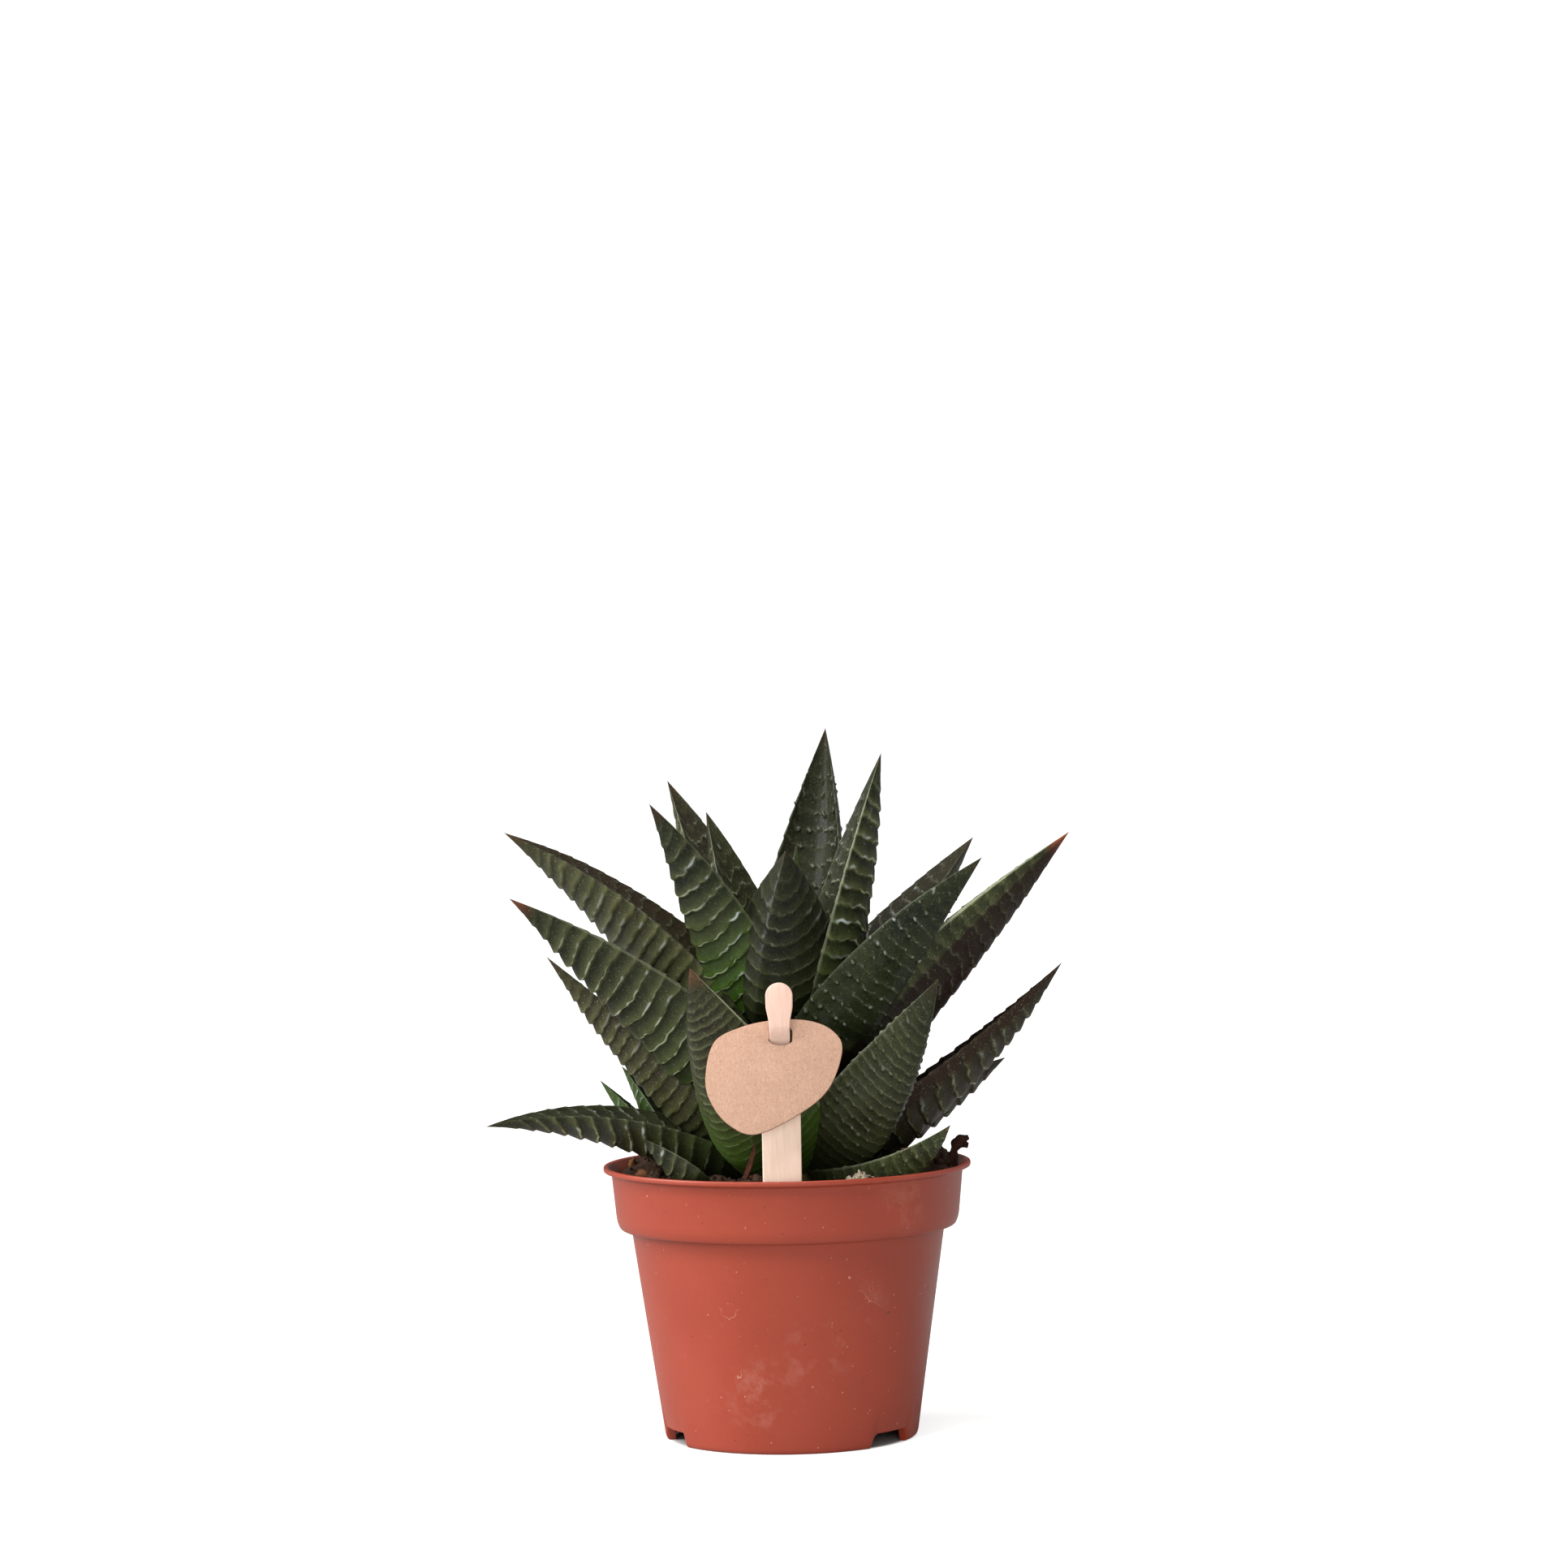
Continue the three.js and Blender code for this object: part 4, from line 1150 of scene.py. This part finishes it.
def crumb_tree():
    tree, given = shape_tree("Crumbs", Amount=9.0e5, Smallest=0.3 * MM, Largest=1.2 * MM, Lift=0.0,
                             Middle=ORIGIN, Reach=24.2 * MM, Detail=2, Seed=1)
    place = put(tree, "GeometryNodeInputPosition")

    def draw(low, high, shift):
        triple = isinstance(low, tuple)
        first = 0 if triple else 2
        values = {"Seed": given["Seed"] + shift, first: low, first + 1: high}
        return put(tree, "FunctionNodeRandomValue", values, 0 if triple else 1,
                   data_type="FLOAT_VECTOR" if triple else "FLOAT")

    level = parts_of(put(tree, "GeometryNodeInputNormal"))[2]
    on_top = put(tree, "FunctionNodeCompare", {0: level, 1: FACES_UP}, operation="GREATER_THAN")
    aside = vector_calc("SUBTRACT", {0: place, 1: given["Middle"]})
    away = vector_calc("LENGTH", {0: vector_calc("MULTIPLY", {0: aside, 1: (1, 1, 0)})}, "Value")
    near = put(tree, "FunctionNodeCompare", {0: away, 1: given["Reach"]}, operation="LESS_THAN")
    chosen = put(tree, "FunctionNodeBooleanMath", {0: on_top, 1: near}, operation="AND")
    points = put(tree, "GeometryNodeDistributePointsOnFaces",
                 {"Mesh": given["Geometry"], "Selection": chosen, "Density": given["Amount"],
                  "Seed": given["Seed"]}, "Points")

    ball = put(tree, "GeometryNodeMeshIcoSphere", {"Radius": 0.5, "Subdivisions": given["Detail"]})
    dents = put(tree, "ShaderNodeTexNoise", {"Vector": place, "Scale": 2.6, "Detail": 2.0}, "Color")
    dents = vector_calc("SCALE", {0: vector_calc("SUBTRACT", {0: dents, 1: (0.5, 0.5, 0.5)}), "Scale": 1.1})
    stone = put(tree, "GeometryNodeSetPosition", {"Geometry": ball, "Offset": dents})

    share = draw(0.0, 1.0, 1.0) ** 2.2
    size = share * (given["Largest"] - given["Smallest"]) + given["Smallest"]
    form = vector_calc("SCALE", {0: draw((0.7, 0.7, 0.5), (1.3, 1.3, 1.0), 2.0), "Scale": size})
    turn = draw((0, 0, 0), (WHOLE_TURN, WHOLE_TURN, WHOLE_TURN), 3.0)
    laid = put(tree, "GeometryNodeInstanceOnPoints",
               {"Points": points, "Instance": stone, "Rotation": turn, "Scale": form})
    laid = put(tree, "GeometryNodeTranslateInstances",
               {"Instances": laid, "Translation": vector(0.0, 0.0, given["Lift"]), "Local Space": False})
    return give_shape(tree, put(tree, "GeometryNodeSetShadeSmooth", {"Geometry": laid}), given["Material"])


CRUMBS = crumb_tree()
print("crumb tree has", len(CRUMBS.nodes), "nodes")

# %% [markdown]
# The same tree runs three times on copies of the body: peat crumbs all over, pale grains of
# grit gathered in front at the right, and a few bits of dry litter between them.

# %% Scatter the crumbs
def scatter_on(ground, tree, name, finish, **values):
    piece = bpy.data.objects.new(name, ground.data.copy())
    bpy.context.scene.collection.objects.link(piece)
    grow(piece, tree, Material=finish, **values)
    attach(piece, "root")
    print(name, len(piece.data.polygons), "faces")


scatter_on(soil, CRUMBS, "peat_crumbs", COMPOST, Amount=5.0e5, Smallest=0.5 * MM, Largest=2.2 * MM,
           Lift=0.1 * MM, Detail=2, Seed=4)
scatter_on(soil, CRUMBS, "grit_grains", GRIT, Amount=2.6e6, Smallest=0.5 * MM, Largest=1.3 * MM,
           Lift=0.5 * MM, Middle=metres((10.8, -21.0, 0.0)), Reach=2.6 * MM, Detail=2, Seed=19)
scatter_on(soil, CRUMBS, "litter_bits", LITTER, Amount=5.0e4, Smallest=0.4 * MM, Largest=1.6 * MM,
           Lift=0.4 * MM, Detail=2, Seed=31)
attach(soil, "root")
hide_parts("soil")

# %% [markdown]
# A dried scrap of leaf stands beside the stick. It follows the leaf rule too, at a fraction
# of the size, curled sideways and without ridges.

# %% Dry scrap
DRY = row(10, 40.2, 0.0, 64, -6, 7.4, 1.15, grid=(40, 8, 10), sweep=70, seed=5.0)
DRY_STEM = (-6.6, -22.2)

scrap = leaf_blade("dry_scrap", DRY, DRY_STEM)
scrap.data.materials.append(earth_finish("dry scrap", paint(34, 19, 13), paint(86, 46, 33), 900.0))
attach(scrap, "root")
print("dry scrap", len(scrap.data.polygons), "faces")

# %% [markdown]
# ## The stick
#
# A flat birch stick, like an ice-cream stick with a neck and a small round head. Its half
# width is given at a few heights and joined by a smooth curve. It leans outwards a little,
# and near the top it passes from behind the tag through the slot to the front. The section
# is a rectangle with softened edges.

# %% Stick shape
STICK_X, STICK_Y = -0.7, -23.0
STICK_FOOT = 33.4
STICK_LEAN = 0.08
THROUGH_SLOT, SLOT_FROM, SLOT_TO = 2.2, 60.0, 64.0
STICK_THICKNESS = 0.9
STICK_EDGE = 0.2
STICK_ROWS, HEAD_ROWS = 150, 16
STICK_WIDTHS = [(STICK_FOOT, 1.9), (34.4, 2.85), (46.0, 2.85), (55.6, 2.85), (58.0, 2.25), (59.6, 1.53),
                (61.0, 1.5), (64.2, 1.5), (65.2, 1.68), (66.4, 1.95), (67.8, 1.97)]
HEAD_MIDDLE, HEAD_TOP = 68.2, 70.1
HEAD_FILL = 0.985
SMOOTH_OVER = 9


def stick_y(z):
    return STICK_Y - STICK_LEAN * (z - POT_HEIGHT) - THROUGH_SLOT * smoothstep(SLOT_FROM, SLOT_TO, z)


def stick_half_width(z):
    width = np.interp(z, *zip(*STICK_WIDTHS))
    kernel = np.hanning(SMOOTH_OVER)
    padded = np.pad(width, SMOOTH_OVER // 2, mode="edge")
    width = np.convolve(padded, kernel / kernel.sum(), mode="valid")
    up = np.clip((z - HEAD_MIDDLE) / (HEAD_TOP - HEAD_MIDDLE), 0, 1)
    return width * np.sqrt(1 - up ** 2 * HEAD_FILL)


def stick_body():
    dome = np.sin(np.linspace(0, math.pi / 2, HEAD_ROWS)[1:])
    z = np.concatenate([np.linspace(STICK_FOOT, HEAD_MIDDLE, STICK_ROWS),
                        HEAD_MIDDLE + (HEAD_TOP - HEAD_MIDDLE) * dome])
    y, half = stick_y(z), stick_half_width(z)
    deep = STICK_THICKNESS / 2 * np.hypot(1, np.gradient(y, z))
    edge = np.minimum(STICK_EDGE, half * 0.6)
    quarter = np.linspace(0, math.pi / 2, 5)
    corners = []
    for side, front in ((1, 1), (-1, 1), (-1, -1), (1, -1)):
        for turn in quarter if side == front else quarter[::-1]:
            across = STICK_X + side * (half - edge + edge * math.cos(turn))
            out = y + front * (deep - edge + edge * math.sin(turn))
            corners.append(np.stack([across, out, z], axis=1))
    rings = np.stack(corners, axis=1)
    points, faces = tube(rings, [rings[0].mean(axis=0), rings[-1].mean(axis=0)])
    return new_piece("plant_stick", points * MM, faces)


# %% [markdown]
# The wood is pale birch. Its grain is a noise drawn out lengthwise, crossed by faint broad
# bands, and painted shade makes the head a little darker, where the lamps light it most.

# %% Stick and its wood
def drawn_out(place, turn, share):
    """Turns the place about the depth and slows it one way, so that a noise looks like fibres."""
    values = {"Vector": place, "Rotation": (0, turn, 0), "Scale": (1.0, 1.0, share)}
    return put(tree_of(place), "ShaderNodeMapping", values)


def birch_finish():
    finish, surface, place = new_finish("birch", Specular_IOR_Level=0.35)
    lengthwise = drawn_out(place, 0.0, 0.035)
    grain = noise(lengthwise, 2600.0, 5.0, 0.6)
    colour = tint(grain, [(0.28, paint(224, 196, 175)), (0.72, paint(238, 213, 195))])
    colour = blend(fade(noise(lengthwise, 420.0), 0.45, 0.75, 0.0, 0.12), colour, paint(220, 184, 152))
    # painted shade on the head, which the lamps light more strongly than the rest
    head = fade(parts_of(place)[2], 58.0 * MM, 64.0 * MM)
    colour = blend(head, colour, (0.84, 0.75, 0.76, 1.0), "MULTIPLY")
    connect(surface, Base_Color=colour, Roughness=fade(grain, 0.3, 0.7, 0.55, 0.7),
            Normal=bump(grain, 0.06 * MM, 0.5))
    return finish


stick = stick_body()
stick.data.materials.append(birch_finish())
stick.data.set_sharp_from_angle(angle=70 * RAD)
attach(stick, "root")
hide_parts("stick")
print("stick", len(stick.data.polygons), "faces")

# %% [markdown]
# ## The tag
#
# A pebble-shaped card with nothing on it. A flat curve with a hole makes it directly: the
# outer loop passes through a dozen points, the inner one is the slot that the stick passes
# through, and the curve's own thickness and bevel give the cut edge its soft corner. Each
# corner of the mesh keeps how near the cut edge it is, for the finish to read as `cut`.

# %% Tag shape
TAG_Y, TAG_SLOT_Z, TAG_TILT, TAG_THICKNESS = -25.75, 62.2, 8.0, 0.8
TAG_BEVEL = 0.14
TAG_HALF = 9.0
LOOP_STEPS = 14
TAG_POINTS = [(-11.6, 56.4), (-10.3, 61.4), (-6.6, 63.5), (-1.8, 64.5), (3.4, 64.4), (7.0, 62.9),
              (8.4, 60.1), (6.4, 54.6), (2.2, 51.0), (-4.4, 48.0), (-8.4, 49.5), (-10.9, 52.8)]
SLOT_POINTS = [(-2.4, 61.5), (-1.9, 61.05), (-1.0, 60.75), (0.0, 60.75), (0.8, 61.0), (1.2, 61.3),
               (1.25, 63.0), (0.9, 63.5), (-2.3, 63.5)]


def closed_curve(points, steps):
    """Passes a smooth loop through the points, with `steps` places from one to the next."""
    knots = np.array(points)
    before, after, beyond = np.roll(knots, 1, 0), np.roll(knots, -1, 0), np.roll(knots, -2, 0)
    t = (np.arange(steps) / steps)[None, :, None]
    a, b, c, d = (k[:, None] for k in (before, knots, after, beyond))
    second, third = 2 * a - 5 * b + 4 * c - d, 3 * b - a - 3 * c + d
    curve = 0.5 * (2 * b + (c - a) * t + second * t ** 2 + third * t ** 3)
    return curve.reshape(-1, 2)


def flat_card(loops):
    card = bpy.data.curves.new("tag", "CURVE")
    card.dimensions = "2D"
    card.fill_mode = "BOTH"
    card.extrude = (TAG_THICKNESS / 2 - TAG_BEVEL) * MM
    card.bevel_depth = TAG_BEVEL * MM
    card.bevel_resolution = 2
    for loop in loops:
        spline = card.splines.new("POLY")
        spline.points.add(len(loop) - 1)
        spline.use_cyclic_u = True
        for point, (x, z) in zip(spline.points, loop):
            point.co = (x * MM, (z - TAG_SLOT_Z) * MM, 0, 1)
    shape = bpy.data.objects.new("tag_curve", card)
    bpy.context.scene.collection.objects.link(shape)
    view = bpy.context.evaluated_depsgraph_get()
    mesh = bpy.data.meshes.new_from_object(shape.evaluated_get(view))
    bpy.data.objects.remove(shape)
    return mesh


def tag_body():
    outer = closed_curve(TAG_POINTS, LOOP_STEPS)
    middle = outer.mean(axis=0)
    mesh = flat_card([middle + (outer - middle) * (1 - TAG_BEVEL / TAG_HALF), SLOT_POINTS])
    body = bmesh.new()
    body.from_mesh(mesh)
    bmesh.ops.remove_doubles(body, verts=body.verts[:], dist=0.005 * MM)
    bmesh.ops.recalc_face_normals(body, faces=body.faces[:])
    body.to_mesh(mesh)
    body.free()
    depth = [TAG_THICKNESS / 2 - abs(vertex.co.z) / MM for vertex in mesh.vertices]
    cut = np.clip(np.array(depth) / (0.7 * TAG_BEVEL), 0, 1).astype(np.float32)
    mesh.attributes.new("cut", "FLOAT", "POINT").data.foreach_set("value", cut)
    tilt = Matrix.Rotation((90 - TAG_TILT) * RAD, 4, "X")
    mesh.transform(Matrix.Translation(Vector((0, TAG_Y, TAG_SLOT_Z)) * MM) @ tilt)
    piece = bpy.data.objects.new("kraft_tag", mesh)
    bpy.context.scene.collection.objects.link(piece)
    mesh.polygons.foreach_set("use_smooth", [True] * len(mesh.polygons))
    mesh.set_sharp_from_angle(angle=35 * RAD)
    return piece


# %% [markdown]
# Kraft card shows its fibres: three layers of drawn-out noise, each laid at its own angle.
# Its cut edge is darker than its face, and small brown specks lie all over it.

# %% Tag and its card
def kraft_finish():
    finish, surface, place = new_finish("kraft card", Specular_IOR_Level=0.25, Roughness=0.85)
    layers = [noise(drawn_out(place, turn, 0.12), 4800.0, 3.0, 0.6) for turn in (0.5, 1.9, 2.8)]
    fibres = largest(*[fade(layer, 0.56, 0.72) for layer in layers])
    cloud = group(MOTTLE, Vector=place, Coarse=300.0, Fine=3200.0, Fine_Share=0.8)
    colour = tint(cloud, [(0.3, paint(162, 128, 108)), (0.7, paint(186, 150, 128))])
    colour = blend(fibres * 0.35, colour, paint(206, 172, 150))
    colour = blend(specks(place, 4600.0, 0.60, 0.74) * 0.4, colour, paint(128, 84, 60))
    cut = put(tree_of(place), "ShaderNodeAttribute", output="Fac", attribute_name="cut")
    colour = blend(cut * 0.85, colour, paint(118, 74, 54))
    connect(surface, Base_Color=colour, Normal=bump(fibres, 0.03 * MM, 0.5))
    return finish


tag = tag_body()
tag.data.materials.clear()
tag.data.materials.append(kraft_finish())
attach(tag, "root")
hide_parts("tag")
print("tag", len(tag.data.polygons), "faces")

# %% [markdown]
# ## Bark scrap
#
# A splinter of bark stands at the lip: a narrow foot, a knobbly neck that bends outwards,
# and a short hook below its head. Each limb is a stack of uneven rings along a line of
# knots, and both are finished in rough dark brown.

# %% Bark
BARK_LINE = [(23.4, 1.5, 34.5), (24.5, 1.8, 38.5), (25.1, 2.0, 41.2), (25.35, 2.1, 42.4), (25.8, 2.2, 43.3),
             (26.5, 2.3, 43.9), (27.6, 2.4, 44.3)]
BARK_RADII = [1.2, 1.1, 0.7, 0.5, 0.85, 0.75, 0.3]
BARK_HOOK = [(26.0, 2.2, 43.4), (26.7, 2.3, 43.2), (27.5, 2.4, 43.0)]
HOOK_RADII = [0.7, 0.5, 0.4]
BARK_ROWS, HOOK_ROWS = 60, 16
BARK_SIDES = 28


def bark_limb(knots, widths, rows, first=0):
    at = np.linspace(0, 1, len(knots))
    t = np.linspace(0, 1, rows)
    line = np.stack([np.interp(t, at, axis) for axis in np.array(knots).T], axis=1)
    along = np.gradient(line, axis=0)
    along /= np.linalg.norm(along, axis=1, keepdims=True)
    aside = np.stack([along[:, 2], np.zeros(rows), -along[:, 0]], axis=1)
    angles = np.arange(BARK_SIDES) * 2 * math.pi / BARK_SIDES
    level = t[:, None]
    knobs = 1 + 0.16 * np.sin(3 * angles + 7 * level) + 0.1 * np.sin(7 * angles - 23 * level)
    reach = np.interp(t, at, widths)[:, None] * knobs
    rings = line[:, None] + aside[:, None] * (reach * np.cos(angles))[..., None]
    rings[..., 1] += 0.8 * reach * np.sin(angles)
    return tube(rings, [line[0], line[-1]], first)


def bark_body():
    neck, neck_faces = bark_limb(BARK_LINE, BARK_RADII, BARK_ROWS)
    hook, hook_faces = bark_limb(BARK_HOOK, HOOK_RADII, HOOK_ROWS, first=len(neck))
    return new_piece("bark_scrap", np.vstack([neck, hook]) * MM, neck_faces + hook_faces)


bark = bark_body()
bark.data.materials.append(earth_finish("bark", paint(24, 15, 12), paint(64, 37, 28), 600.0))
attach(bark, "root")
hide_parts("bark")
print("bark", len(bark.data.polygons), "faces")

# %% [markdown]
# ## Sizes
#
# Both boxes, the frame's and the dressed plant's, are gathered here, and the dressed one is
# printed. The dressed plant has to stay inside the frame's box, apart from a small
# allowance.

# %% Gather the sizes
boxes = {"frame": frame_box, "dressed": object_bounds()}
boxes = {name: [list(corner) for corner in box] for name, box in boxes.items()}
print("dressed box", boxes["dressed"])
